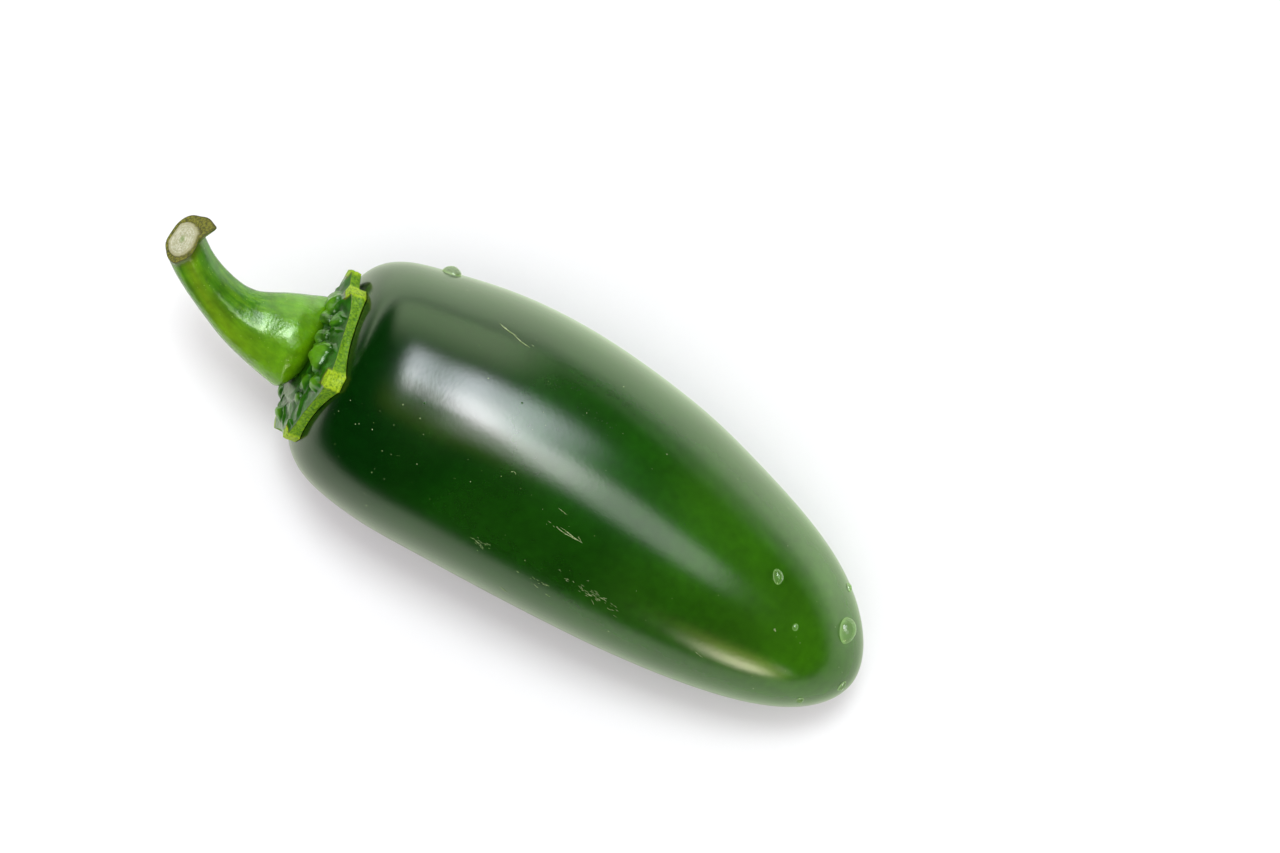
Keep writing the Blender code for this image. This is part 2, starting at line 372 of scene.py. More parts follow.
def skin_at(obj, points, directions=None):
    """For each point in the plant's frame, the nearest place on a finished piece and its normal.

    With directions, the place is where a ray from the point meets the piece."""
    places, normals = [], []
    for i, point in enumerate((np.asarray(points).reshape(-1, 3) + ROW_SHIFT) * MM):
        if directions is None:
            found, place, normal, _ = obj.closest_point_on_mesh(point)
        else:
            found, place, normal, _ = obj.ray_cast(point, directions)
        if not found:
            raise RuntimeError(f"no skin of {obj.name} near point {i}")
        places.append(place)
        normals.append(normal)
    shape = np.asarray(points).shape
    return (np.array(places) / MM - ROW_SHIFT).reshape(shape), np.array(normals).reshape(shape)


def grow_pod(settings):
    grid, x, radius, angle = pod_grid(settings.rings, settings.sides)
    normals = grid_normals(grid)
    swell = settings.swell / MM * unevenness(grid, 13.0, 4.0)
    ripple = settings.ripple / MM * unevenness(grid, 3.4, 9.0)
    fade = ease(x / 4.0)[:, None] * ease((POD_LENGTH - x) / 3.0)[:, None]
    grid = lie_down(grid + normals * ((swell + ripple) * fade)[..., None])
    poles = pod_poles()
    along = np.broadcast_to(x[:, None], grid.shape[:2])
    turned = np.stack([along, radius[:, None] * np.cos(angle), radius[:, None] * np.sin(angle)], axis=-1)
    unbent = (np.array([x[0], 0.0, 0.0]) * MM, turned * MM, np.array([POD_LENGTH, 0.0, 0.0]) * MM)
    return closed_skin(POD, grid, poles, {"unbent": unbent})


# Calyx


def calyx_frame():
    """(middle, axis towards the stem, up, side) of the calyx in the plant's frame."""
    axis = unit(CALYX_AXIS)
    up = unit(np.array([0.0, 0.0, 1.0]) - axis * axis[2])
    side = np.cross(axis, up)
    _, y, z = POD_SPINE[0]
    middle = np.array([SHOULDER_LEAN_SIDE * CALYX_SIDEWAYS, y + CALYX_SIDEWAYS, z - REST_SINK])
    return middle, axis, up, side


def calyx_edge(angle):
    """(radius, thickness, lift, how much of a tooth) of the edge at angles in radians."""
    degrees, share, thick, lift = np.array(CALYX_TEETH).T
    angles, radii = np.radians(degrees), CALYX_RADIUS * share
    before = (np.searchsorted(angles, angle, side="right") - 1) % len(angles)
    after = (before + 1) % len(angles)
    half_before = np.arcsin(TOOTH_HALF_WIDTH / radii[before])
    half_after = np.arcsin(TOOTH_HALF_WIDTH / radii[after])
    past = (angle - angles[before]) % FULL_TURN
    left = (angles[after] - angle) % FULL_TURN
    span = past + left - half_before - half_after
    share = np.clip((past - half_before) / span, 0.0, 1.0)
    start, end = radii[before] / np.cos(half_before), radii[after] / np.cos(half_after)
    straight = start * end * np.sin(span)
    straight /= start * np.sin(span * share) + end * np.sin(span * (1.0 - share))
    dip = 0.16 - 0.125 * ease(span / 0.8)
    straight *= 1.0 - dip * np.sin(math.pi * share)
    flat_end = np.where(past < half_before, radii[before] / np.cos(past), radii[after] / np.cos(left))
    on_tooth = (past < half_before) | (left < half_after)
    radius = np.where(on_tooth, flat_end, straight)
    from_before, from_after = np.maximum(past - half_before, 0.0), np.maximum(left - half_after, 0.0)
    near_before, near_after = np.exp(-from_before / TOOTH_REACH), np.exp(-from_after / TOOTH_REACH)
    more = (thick[before] - EDGE_THICKNESS) * near_before + (thick[after] - EDGE_THICKNESS) * near_after
    lifted = lift[before] * near_before + lift[after] * near_after
    tooth = np.maximum(1.0 - from_before / TOOTH_CRISPNESS, 1.0 - from_after / TOOTH_CRISPNESS)
    return radius, EDGE_THICKNESS + more, lifted, ease(tooth)


def polar(degrees, distance):
    return distance * np.array([math.cos(math.radians(degrees)), math.sin(math.radians(degrees))])


def calyx_relief(flat):
    """(height, crease) of the knobs and ridges at places on the calyx's flat plan; crease marks where the
    skin gets painted shade.
    """
    plan = np.concatenate([flat, np.zeros_like(flat[..., :1])], axis=-1)
    for how_far, size, seeds in RELIEF_BENDS:
        flat = flat + how_far * np.stack([unevenness(plan, size, seed) for seed in seeds], axis=-1)
    height, crease = np.zeros(flat.shape[:-1]), np.zeros(flat.shape[:-1])
    for degrees, reach, long, wide, rise in CALYX_KNOBS:
        out = polar(degrees, 1.0)
        gap = flat - reach * out
        gap = np.hypot(gap @ out / long, gap @ np.array([-out[1], out[0]]) / wide)
        dome = rise * np.clip(1.0 - gap**2, 0.0, 1.0) ** 1.15
        merge = np.clip(0.5 + (dome - height) / 0.7, 0.0, 1.0)
        height = height + merge * (dome - height) + 0.12 * merge * (1.0 - merge)
        crease = np.maximum(crease, 0.8 * bell((gap - 1.05) / 0.18))
    for start_angle, start_reach, end_angle, end_reach, wide, rise in CALYX_RIDGES:
        start, end = polar(start_angle, start_reach), polar(end_angle, end_reach)
        run = end - start
        share = np.clip((flat - start) @ run / (run @ run), 0.0, 1.0)
        sway = 0.25 * np.sin(share * 9.0 + start_angle)[..., None] * unit(np.array([-run[1], run[0]]))
        gap = np.linalg.norm(flat - start - share[..., None] * run - sway, axis=-1) / wide
        taper = np.sin(math.pi * (0.1 + 0.8 * share))
        height = np.maximum(height, rise * taper * bell(gap))
        crease = np.maximum(crease, 0.6 * taper * bell((gap - 1.9) / 0.5))
    return height, crease


def calyx_top(distance, edge, rim_top, lowest, plan):
    """(height, creases, how far its knobs stand out) of the calyx's outer face."""
    slope = np.clip((distance - CALYX_SEAT_RADIUS) / (edge - CALYX_SEAT_RADIUS), 0.0, 1.0)
    top = CALYX_SEAT_HEIGHT + (rim_top - CALYX_SEAT_HEIGHT) * slope**0.75
    waver = 0.35 * unevenness(plan, 3.0, 11.0)
    groove = bell((distance - CALYX_SEAT_RADIUS - 0.5 + waver) / 0.4)
    between = np.sin(math.pi * slope**0.7)
    height, crease = calyx_relief(plan[..., :2])
    reach = ease((distance - 4.9) / 0.9) * ease((1.0 - slope) * 5.0)
    top += height * reach - 0.3 * groove * (1.0 - np.clip(height, 0.0, 1.0))
    top += between * (0.26 * unevenness(plan, 2.3, 2.0) + 0.09 * unevenness(plan, 0.9, 5.0))
    crease = np.maximum(crease, 0.9 * groove) * ease(between * 3.0)
    return np.maximum(top, lowest), crease, np.clip(height, 0.0, 1.0) * reach


def grow_calyx(settings):
    pod = bpy.data.objects[POD]
    middle, axis, up, side = calyx_frame()
    angle = angles_round(settings.sides) - math.pi
    edge, thickness, lift, tooth = calyx_edge(angle)
    out = np.linspace(0.0, 1.0, settings.rings)[:, None] ** 0.9
    distance = CALYX_INNER_RADIUS + (edge - CALYX_INNER_RADIUS) * out
    spokes = np.cos(angle)[:, None] * up + np.sin(angle)[:, None] * side

    def at(distance, height):
        return middle + distance[..., None] * spokes + height[..., None] * axis

    below = skin_at(pod, at(distance, np.full(distance.shape, 9.0)), -Vector(axis))[0]
    ground = (below - middle) @ axis
    raised = lift * ease((out - 0.6) / 0.4)
    rim_top = ground[-1] + thickness + lift
    circle = np.stack([np.cos(angle), np.sin(angle), np.zeros_like(angle)], axis=-1)
    plan = distance[..., None] * circle
    lowest = ground + raised + CALYX_THINNEST
    top, crease, standing = calyx_top(distance, edge, rim_top, lowest, plan)
    steps = np.linspace(0.0, 1.0, EDGE_STEPS + 1)[1:, None]
    foot = ground[-1] + lift + POD_GAP
    face = at(edge * np.ones_like(steps), rim_top * (1.0 - steps) + foot * steps)
    rough = unevenness(face, 0.42, 1.0) * 0.09 + unevenness(face, 1.5, 3.0) * 0.14
    face += (rough * np.sin(math.pi * steps) ** 0.5)[..., None] * spokes
    inward = slice(-2, None, -6)
    underside = at(distance[inward], (ground + raised)[inward] + POD_GAP)
    grid = np.concatenate([at(distance, top), face, underside])
    on_edge = np.zeros(grid.shape[:2])
    on_edge[settings.rings - 1 : settings.rings + len(steps)] = 1.0
    on_edge[settings.rings - 1] = on_edge[settings.rings + len(steps) - 1] = 0.35
    creases = np.zeros_like(on_edge)
    creases[: settings.rings] = crease * (1.0 - tooth)
    along = grid - middle
    off_axis = np.linalg.norm(along - (along @ axis)[..., None] * axis, axis=-1)
    teeth = tooth * ease((off_axis - edge + 1.6) / 1.0)
    raised_up = np.zeros_like(on_edge)
    raised_up[: settings.rings] = standing
    unbent = np.concatenate([plan, np.repeat(plan[-1:], len(steps), axis=0), plan[inward]])
    unbent[..., 2] = along @ axis
    poles = np.array([CALYX_SEAT_HEIGHT, ground[0].mean() + POD_GAP])[:, None] * axis + middle
    attributes = {
        "unbent": (np.zeros(3), unbent * MM, np.zeros(3)),
        "cut_edge": (0.0, on_edge, 0.0),
        "crease": (0.0, creases, 0.0),
        "tooth": (0.0, teeth, 0.0),
        "raised": (0.0, raised_up, 0.0),
    }
    return closed_skin(CALYX, grid, poles, attributes)


# Stem


def stem_path(lengths):
    """(points, radii, tangents) of the stem's middle line at lengths, and the line's whole length."""
    line = np.array(STEM_LINE)
    knots = chord_lengths(line[:, :3])
    found = natural_spline(knots, line, lengths)
    step = 0.01
    tangents = natural_spline(knots, line[:, :3], np.asarray(lengths) + step) - found[..., :3]
    return found[..., :3], found[..., 3], unit(tangents)


def where_it_meets(point, normal):
    """How far along the stem's line it passes a plane."""
    lengths = np.linspace(0.0, chord_lengths(np.array(STEM_LINE)[:, :3])[-1], 800)
    points = stem_path(lengths)[0]
    return float(np.interp(0.0, (points - np.array(point)) @ unit(normal), lengths))


def stem_spokes(tangents, up, angle):
    """Directions out from the stem's middle line at each ring, that don't twist along it."""
    ups = []
    for tangent in tangents:
        up = unit(up - tangent * (up @ tangent))
        ups.append(up)
    ups = np.array(ups)
    sides = np.cross(tangents, ups)
    return np.cos(angle)[None, :, None] * ups[:, None] + np.sin(angle)[None, :, None] * sides[:, None]


def stem_reach(radii, angle, gone, left, share, lengths):
    """How far its skin is from its middle line, with ribs, a tucked foot, a skirt and a bulge."""
    ribs = sum(rise * np.cos(many * angle + turn) for rise, many, turn in STEM_RIBS)
    reach = radii[:, None] * (1.0 + (0.012 + 0.03 * ease(share * 2.2)) * ribs[None, :])
    tucked = 0.34 * ease(0.5 + 0.7 * np.cos(angle + 0.35))[None, :] + 0.02
    depth = 4.2 - 1.8 * ease(-np.sin(angle + 0.3))[None, :]
    reach *= 1.0 - tucked * (1.0 - np.clip(gone / depth, 0.0, 1.0)) ** 2.0
    skirt = bell(wrapped(angle - 1.45) / 0.75)[None, :]
    reach += 0.9 * skirt * (1.0 - np.clip(gone / 4.5, 0.0, 1.0)) ** 2.0
    bulge = wrapped(angle - 0.08)[None, :] / 0.5
    reach += 0.25 * bell((lengths[:, None] - 6.4) / 2.2, bulge)
    reach -= 0.10 * bell((lengths[:, None] - 9.6) / 1.2, bulge)
    reach += 0.10 * bell(left / 0.5) * (1.0 + 0.8 * np.cos(2.0 * angle + 1.0))
    return reach


def with_flap(grid, centre, cut, left):
    """The rings with a flap of bark torn out of the rim of the cut."""
    flap = unit(np.array(BARK_FLAP) - cut * (np.array(BARK_FLAP) @ cut))
    across = np.cross(cut, flap)
    outward = unit(grid[-1] - centre)
    turn = np.degrees(np.arctan2(outward @ across, outward @ flap))
    steep, gentle = ease(1.0 + turn / 24.0), np.clip(1.0 - turn / 85.0, 0.0, 1.0) ** 1.3
    towards = np.where(turn < 0.0, steep, gentle)
    push = BARK_FLAP_LENGTH * towards[None, :] * np.clip(1.0 - (left / 0.5) ** 4, 0.0, 1.0)
    return grid + (push[..., None] * flap - (0.12 * push * towards)[..., None] * cut)


def cut_face(rim, centre, cut, angle):
    """(rings of the cut face, each one's place: 2 at the rim, 1 at the pith's edge, 0 in the middle)."""
    to_rim = np.linalg.norm(rim - centre, axis=-1)
    pith = np.minimum(PITH_RADIUS, to_rim - BARK_THICKNESS * (1.0 + 0.4 * np.cos(angle - 3.0)))
    pith_edge = centre + pith[:, None] * unit(rim - centre)
    out_steps = np.linspace(0.0, 1.0, 12)[1:-1, None, None]
    bark = rim * (1.0 - out_steps) + pith_edge * out_steps
    in_steps = np.linspace(0.0, 1.0, 22)[:-1, None, None]
    heart = pith_edge * (1.0 - in_steps) + centre * in_steps
    face = np.concatenate([bark, heart])
    place = np.concatenate([2.0 - out_steps[:, 0, 0], 1.0 - in_steps[:, 0, 0]])
    rings = 0.025 * np.cos(place * GROWTH_RINGS) * (place < 1.0)
    raised = PITH_RISE * ease((1.08 - place) / 0.12) - 0.12 * bell((place - 1.12) / 0.07)
    rough = 0.07 * unevenness(face, 0.45, 3.0) + 0.10 * unevenness(face, 1.4, 7.0)
    face += (rough + (raised + rings)[:, None])[..., None] * cut
    return face, place


def grow_stem(settings):
    middle, axis, up, _ = calyx_frame()
    start = where_it_meets(middle + axis * (CALYX_SEAT_HEIGHT - 0.25), axis)
    end = where_it_meets(STEM_CUT_POINT, STEM_CUT_NORMAL)
    lengths = start + (end - start) * np.linspace(0.0, 1.0, settings.rings)
    lengths = np.sort(np.concatenate([lengths, end - np.linspace(0.04, 1.0, 14)]))
    centres, radii, tangents = stem_path(lengths)
    cut = unit(STEM_CUT_NORMAL)
    angle = angles_round(settings.sides)
    spokes = stem_spokes(tangents, up, angle)
    gone = (lengths - start)[:, None]
    left = (end - lengths)[:, None]
    share = gone / (end - start)
    reach = stem_reach(radii, angle, gone, left, share, lengths)
    grid = centres[:, None] + reach[..., None] * spokes
    slant = (grid - np.array(STEM_CUT_POINT)) @ cut
    along = tangents @ cut
    fade = 1.0 - ease(left / 4.0)
    flat = (centres - np.array(STEM_CUT_POINT)) @ cut
    grid -= tangents[:, None] * ((slant - flat[:, None]) * fade / along[:, None])[..., None]
    normals = grid_normals(grid)
    bumps = 0.06 * unevenness(grid, 2.6, 6.0) + 0.008 * unevenness(grid, 0.9, 8.0)
    bumps += 0.34 * unevenness(grid, 2.0, 17.0) * np.clip(1.0 - gone / 4.0, 0.0, 1.0) ** 1.5
    grid += normals * bumps[..., None]
    grid = with_flap(grid, centres[-1], cut, left)
    face, ring_place = cut_face(grid[-1], centres[-1], cut, angle)
    full = np.concatenate([grid, face])
    cut_rows = np.concatenate([np.zeros(len(grid)), np.ones(len(face))])
    cut_rows[len(grid) - 2 : len(grid)] = (0.5, 1.0)
    on_cut = np.broadcast_to(cut_rows[:, None], full.shape[:2])
    place = np.concatenate([np.full(len(grid), 2.0), ring_place])
    ring_at = np.broadcast_to(place[:, None], full.shape[:2])
    on_face = np.linalg.norm(face - centres[-1], axis=-1)
    straight = np.concatenate([np.broadcast_to(radii[:, None], grid.shape[:2]), on_face])
    rise = np.concatenate([lengths, np.full(len(face), lengths[-1])])[:, None]
    rise = np.broadcast_to(rise, full.shape[:2])
    unbent = np.stack([straight * np.cos(angle), straight * np.sin(angle), rise], axis=-1)
    sun = np.concatenate([share, np.ones((len(face), 1))])
    # sunny marks a band of painted light along the stem's lit side, turned further round and wider near
    # its base.
    facing = wrapped(angle[None, :] + 0.35 + 0.9 * (1.0 - sun))
    sunny = bell(facing / (0.35 + 0.75 * (1.0 - sun) ** 2))
    attributes = {
        "unbent": (np.zeros(3), unbent * MM, np.zeros(3)),
        "on_cut": (0.0, on_cut, 1.0),
        "ring": (2.0, ring_at, 0.0),
        "sunny": (0.0, sunny, 0.0),
        "along": (0.0, np.broadcast_to(sun, full.shape[:2]), 1.0),
    }
    poles = np.array([centres[0], centres[-1] + cut * PITH_RISE])
    return closed_skin(STEM, full, poles, attributes)


# Small tools for materials and node trees


def add_node(tree, kind, settings=None, inputs=None):
    """Adds a node with its settings; an input is linked when it is given as a socket."""
    node = tree.nodes.new(kind)
    for name, value in (settings or {}).items():
        setattr(node, name, value)
    for key, value in (inputs or {}).items():
        if isinstance(value, bpy.types.NodeSocket):
            tree.links.new(value, node.inputs[key])
        else:
            node.inputs[key].default_value = value
    return node


def calc(tree, operation, *values):
    """Adds a step of arithmetic."""
    inputs = dict(enumerate(values))
    return add_node(tree, "ShaderNodeMath", {"operation": operation}, inputs).outputs[0]


def times(tree, first, *others):
    """The product of its values."""
    for other in others:
        first = calc(tree, "MULTIPLY", first, other)
    return first


def cloudy(tree, place, scale, detail, roughness=0.5):
    """Noise around 0.5, with clouds as wide as one part in scale."""
    inputs = {"Vector": place, "Scale": scale, "Detail": detail, "Roughness": roughness}
    return add_node(tree, "ShaderNodeTexNoise", {}, inputs).outputs["Fac"]


def own_place(tree):
    """Places in the row's frame, in metres."""
    return add_node(tree, "ShaderNodeTexCoord").outputs["Object"]


def fade(tree, value, low, high, at_low=0.0, at_high=1.0):
    """Turns value softly from at_low to at_high as it goes from low to high."""
    inputs = {"Value": value, "From Min": low, "From Max": high, "To Min": at_low, "To Max": at_high}
    settings = {"interpolation_type": "SMOOTHSTEP"}
    return add_node(tree, "ShaderNodeMapRange", settings, inputs).outputs[0]


def blend(tree, factor, first, second):
    """Blends two colours."""
    node = add_node(tree, "ShaderNodeMix", {"data_type": "RGBA"}, {"Factor": factor})
    for socket, value in ((node.inputs[6], first), (node.inputs[7], second)):
        if isinstance(value, bpy.types.NodeSocket):
            tree.links.new(value, socket)
        else:
            socket.default_value = (*value[:3], 1.0)
    return node.outputs[2]


def mask_named(tree, name):
    return add_node(tree, "ShaderNodeAttribute", {"attribute_name": name}).outputs["Fac"]


def unbent_place(tree):
    """Places on a grown piece before it is bent, in millimetres."""
    place = add_node(tree, "ShaderNodeAttribute", {"attribute_name": "unbent"}).outputs["Vector"]
    inputs = {0: place, "Scale": 1.0 / MM}
    return add_node(tree, "ShaderNodeVectorMath", {"operation": "SCALE"}, inputs).outputs[0]


def new_tree(kind, name, inputs, outputs):
    """An empty tree with sockets given as (label, kind, default): (tree, inputs, output node)."""
    tree = bpy.data.node_groups.new(name, kind)
    for way, sockets in (("INPUT", inputs), ("OUTPUT", outputs)):
        for label, socket_kind, *default in sockets:
            kind = "NodeSocket" + socket_kind
            socket = tree.interface.new_socket(label, in_out=way, socket_type=kind)
            if default:
                socket.default_value = default[0]
    return tree, tree.nodes.new("NodeGroupInput").outputs, tree.nodes.new("NodeGroupOutput")


def use_effect(tree, name, **inputs):
    """Places a shared effect with its own values, and gives its outputs."""
    node = tree.nodes.new("ShaderNodeGroup")
    node.node_tree = bpy.data.node_groups[name]
    for key, value in inputs.items():
        label = key.replace("_", " ").capitalize()
        if isinstance(value, bpy.types.NodeSocket):
            tree.links.new(value, node.inputs[label])
        else:
            node.inputs[label].default_value = value
    return node.outputs


def clouded(tree, place, colour, cloud_size, strength):
    values = {"place": place, "colour": colour, "cloud_size": cloud_size, "strength": strength}
    return use_effect(tree, "clouding", **values)["Colour"]


def dotted(tree, place, spacing, dot_size, share):
    return use_effect(tree, "dots", place=place, spacing=spacing, dot_size=dot_size, share=share)["Mask"]


def skin_relief(tree, place, cell_size, cell_depth, grain_size, grain_depth):
    """Height in metres of a waxy skin whose cells and grain are given in millimetres."""
    cells = {"cell_size": cell_size, "cell_depth": cell_depth}
    grain = {"grain_size": grain_size, "grain_depth": grain_depth}
    return use_effect(tree, "skin_cells", place=place, **cells, **grain)["Height"]


def make_clouding_effect():
    """Soft lighter and darker clouds that a grown skin has."""
    inputs = (
        ("Place", "Vector"),
        ("Colour", "Color"),
        ("Cloud size", "Float", 8.0),
        ("Strength", "Float", 0.2),
    )
    tree, given, result = new_tree("ShaderNodeTree", "clouding", inputs, (("Colour", "Color"),))
    cloud = cloudy(tree, given["Place"], calc(tree, "DIVIDE", 1.0, given["Cloud size"]), 3.0)
    change = times(tree, calc(tree, "SUBTRACT", cloud, 0.5), given["Strength"], 4.0)
    value = calc(tree, "ADD", 1.0, change)
    bright = add_node(tree, "ShaderNodeHueSaturation", {}, {"Color": given["Colour"], "Value": value})
    tree.links.new(bright.outputs[0], result.inputs["Colour"])


def make_cell_effect():
    """The relief of a waxy skin: rounded cells over a finer grain, as a height in metres."""
    inputs = (
        ("Place", "Vector"),
        ("Cell size", "Float", 0.8),
        ("Cell depth", "Float", 0.006),
        ("Grain size", "Float", 0.25),
        ("Grain depth", "Float", 0.003),
    )
    tree, given, result = new_tree("ShaderNodeTree", "skin_cells", inputs, (("Height", "Float"),))
    scale = calc(tree, "DIVIDE", 1.0, given["Cell size"])
    inputs = {"Vector": given["Place"], "Scale": scale, "Smoothness": 0.6}
    cells = add_node(tree, "ShaderNodeTexVoronoi", {"feature": "SMOOTH_F1"}, inputs)
    rounded = fade(tree, cells.outputs["Distance"], 0.0, 0.75, 1.0, 0.0)
    grain = cloudy(tree, given["Place"], calc(tree, "DIVIDE", 1.0, given["Grain size"]), 1.0)
    cell_height = times(tree, rounded, given["Cell depth"])
    height = calc(tree, "ADD", cell_height, times(tree, grain, given["Grain depth"]))
    tree.links.new(times(tree, height, MM), result.inputs["Height"])


def make_dot_effect():
    """Small round dots, one in some of the cells of a grid of the given spacing."""
    inputs = (
        ("Place", "Vector"),
        ("Spacing", "Float", 1.0),
        ("Dot size", "Float", 0.1),
        ("Share", "Float", 0.3),
    )
    tree, given, result = new_tree("ShaderNodeTree", "dots", inputs, (("Mask", "Float"),))
    scale = calc(tree, "DIVIDE", 1.0, given["Spacing"])
    spots = add_node(tree, "ShaderNodeTexVoronoi", {}, {"Vector": given["Place"], "Scale": scale})
    radius = calc(tree, "DIVIDE", times(tree, given["Dot size"], 0.5), given["Spacing"])
    inside = fade(tree, calc(tree, "DIVIDE", spots.outputs["Distance"], radius), 0.6, 1.2, 1.0, 0.0)
    pick = add_node(tree, "ShaderNodeSeparateColor", {}, {"Color": spots.outputs["Color"]}).outputs[0]
    chosen = calc(tree, "LESS_THAN", pick, given["Share"])
    tree.links.new(times(tree, inside, chosen), result.inputs["Mask"])


def make_fibre_effect():
    """Streaks along a stem: a mask of pale and dark fibres and a relief in metres."""
    inputs = (
        ("Place", "Vector"),
        ("Width", "Float", 0.35),
        ("Length", "Float", 5.0),
        ("Depth", "Float", 0.02),
    )
    outputs = (("Streaks", "Float"), ("Height", "Float"))
    tree, given, result = new_tree("ShaderNodeTree", "fibres", inputs, outputs)
    across = calc(tree, "DIVIDE", 1.0, given["Width"])
    along = calc(tree, "DIVIDE", 1.0, given["Length"])
    scale = add_node(tree, "ShaderNodeCombineXYZ", {}, {0: across, 1: across, 2: along}).outputs[0]
    inputs = {0: given["Place"], 1: scale}
    drawn = add_node(tree, "ShaderNodeVectorMath", {"operation": "MULTIPLY"}, inputs).outputs[0]
    streaks = cloudy(tree, drawn, 1.0, 3.0)
    tree.links.new(streaks, result.inputs["Streaks"])
    tree.links.new(times(tree, streaks, given["Depth"], MM), result.inputs["Height"])


def make_effects():
    for name, make in (
        ("clouding", make_clouding_effect),
        ("skin_cells", make_cell_effect),
        ("dots", make_dot_effect),
        ("fibres", make_fibre_effect),
    ):
        if name not in bpy.data.node_groups:
            make()


def new_finish(name, **values):
    """A material with a Principled BSDF that has the given values: (material, its tree, the shader)."""
    make_effects()
    material = bpy.data.materials.new(name)
    material.use_nodes = True
    tree = material.node_tree
    shader = next(node for node in tree.nodes if node.type == "BSDF_PRINCIPLED")
    for key, value in values.items():
        label = " ".join(word.capitalize() for word in key.split("_")).replace("Ior", "IOR")
        shader.inputs[label].default_value = value
    return material, tree, shader


def connect(tree, shader, colour=None, roughness=None, height=None):
    """Links what changes over a surface to its shader; height is in metres."""
    if colour is not None:
        tree.links.new(colour, shader.inputs["Base Color"])
    if roughness is not None:
        tree.links.new(roughness, shader.inputs["Roughness"])
    if height is not None:
        bump = add_node(tree, "ShaderNodeBump", {}, {"Strength": 1.0, "Distance": 1.0, "Height": height})
        tree.links.new(bump.outputs["Normal"], shader.inputs["Normal"])


# Finishes

# Colours of faint marks and of water in lamplight.
PORE_COLOUR = (0.16, 0.24, 0.07)
DRY_EDGE_COLOUR = (0.10, 0.10, 0.012)
STEM_DOT_COLOUR = (0.36, 0.52, 0.08)
RING_COLOUR = (0.30, 0.29, 0.14)
PITH_EDGE_COLOUR = (0.26, 0.24, 0.08)
PITH_HEART_COLOUR = (0.20, 0.29, 0.08)
LAMPLIT_WATER = (0.9, 0.95, 0.85, 1.0)
# How deep pores and crumbs go, in metres.
PORE_DEPTH = 0.000004
CRUMB_DEPTH = 0.00012
CORK_DEPTH = 0.00003
SCAR_DEPTH = 0.00002


def waxy_skin(settings):
    """The pod's skin: dark shoulder, yellow-green tip, clouds, pale pores and fine relief."""
    material, tree, shader = new_finish("waxy_skin", ior=1.5)
    place = unbent_place(tree)
    along = add_node(tree, "ShaderNodeSeparateXYZ", {}, {0: place}).outputs[0]
    drift = cloudy(tree, place, 0.07, 1.0)
    wander = calc(tree, "ADD", along, times(tree, calc(tree, "SUBTRACT", drift, 0.5), 26.0))
    belly = fade(tree, wander, 3.0, 34.0)
    tip = fade(tree, wander, 34.0, 74.0)
    colour = blend(tree, belly, settings.shoulder_colour, settings.belly_colour)
    colour = blend(tree, tip, colour, settings.tip_colour)
    colour = clouded(tree, place, colour, 11.0, 0.24)
    colour = clouded(tree, place, colour, 1.3, 0.14)
    pores = dotted(tree, place, 1.5, 0.16, 0.30)
    colour = blend(tree, times(tree, pores, 0.35), colour, PORE_COLOUR)
    rough = fade(tree, drift, 0.3, 0.7, 0.17, 0.20)
    relief = skin_relief(tree, place, 0.60, 0.0025, 0.15, 0.0048)
    height = calc(tree, "SUBTRACT", relief, times(tree, pores, PORE_DEPTH))
    connect(tree, shader, colour, rough, height)
    return material


def calyx_skin(settings):
    """The calyx: wet dark green outside with painted shade in its creases, fresh granular yellow-green
    where it is trimmed.
    """
    material, tree, shader = new_finish("calyx_skin", ior=1.25, coat_roughness=0.22)
    place = unbent_place(tree)
    masks = ("cut_edge", "crease", "tooth", "raised")
    edge, crease, tooth, raised = (mask_named(tree, name) for name in masks)
    colour = clouded(tree, place, (*settings.skin_colour, 1.0), 1.6, 0.5)
    colour = blend(tree, fade(tree, raised, 0.15, 0.9), colour, settings.knob_colour)
    # Painted shade: darker in the creases round its knobs and ridges and in the groove round the stem's
    # seat.
    colour = blend(tree, times(tree, crease, 0.85), colour, settings.crease_shade_colour)
    grain = cloudy(tree, place, 2.8, 8.0, roughness=0.7)
    fresh = blend(tree, fade(tree, grain, 0.35, 0.65), settings.trim_colour, settings.pale_trim_colour)
    palest = times(tree, tooth, fade(tree, grain, 0.3, 0.6))
    fresh = blend(tree, palest, fresh, settings.tooth_colour)
    cut = calc(tree, "MAXIMUM", edge, times(tree, tooth, 0.8))
    sharp = fade(tree, cut, 0.35, 0.7)
    brown = times(tree, fade(tree, cut, 0.12, 0.3), fade(tree, cut, 0.45, 0.7, 1.0, 0.0), 0.8)
    colour = blend(tree, sharp, colour, fresh)
    colour = blend(tree, brown, colour, DRY_EDGE_COLOUR)
    relief = skin_relief(tree, place, 0.5, 0.02, 0.16, 0.008)
    connect(tree, shader, colour, fade(tree, sharp, 0.0, 1.0, 0.3, 0.6), relief)
    tree.links.new(fade(tree, sharp, 0.0, 1.0, 0.65, 0.1), shader.inputs["Coat Weight"])
    return material


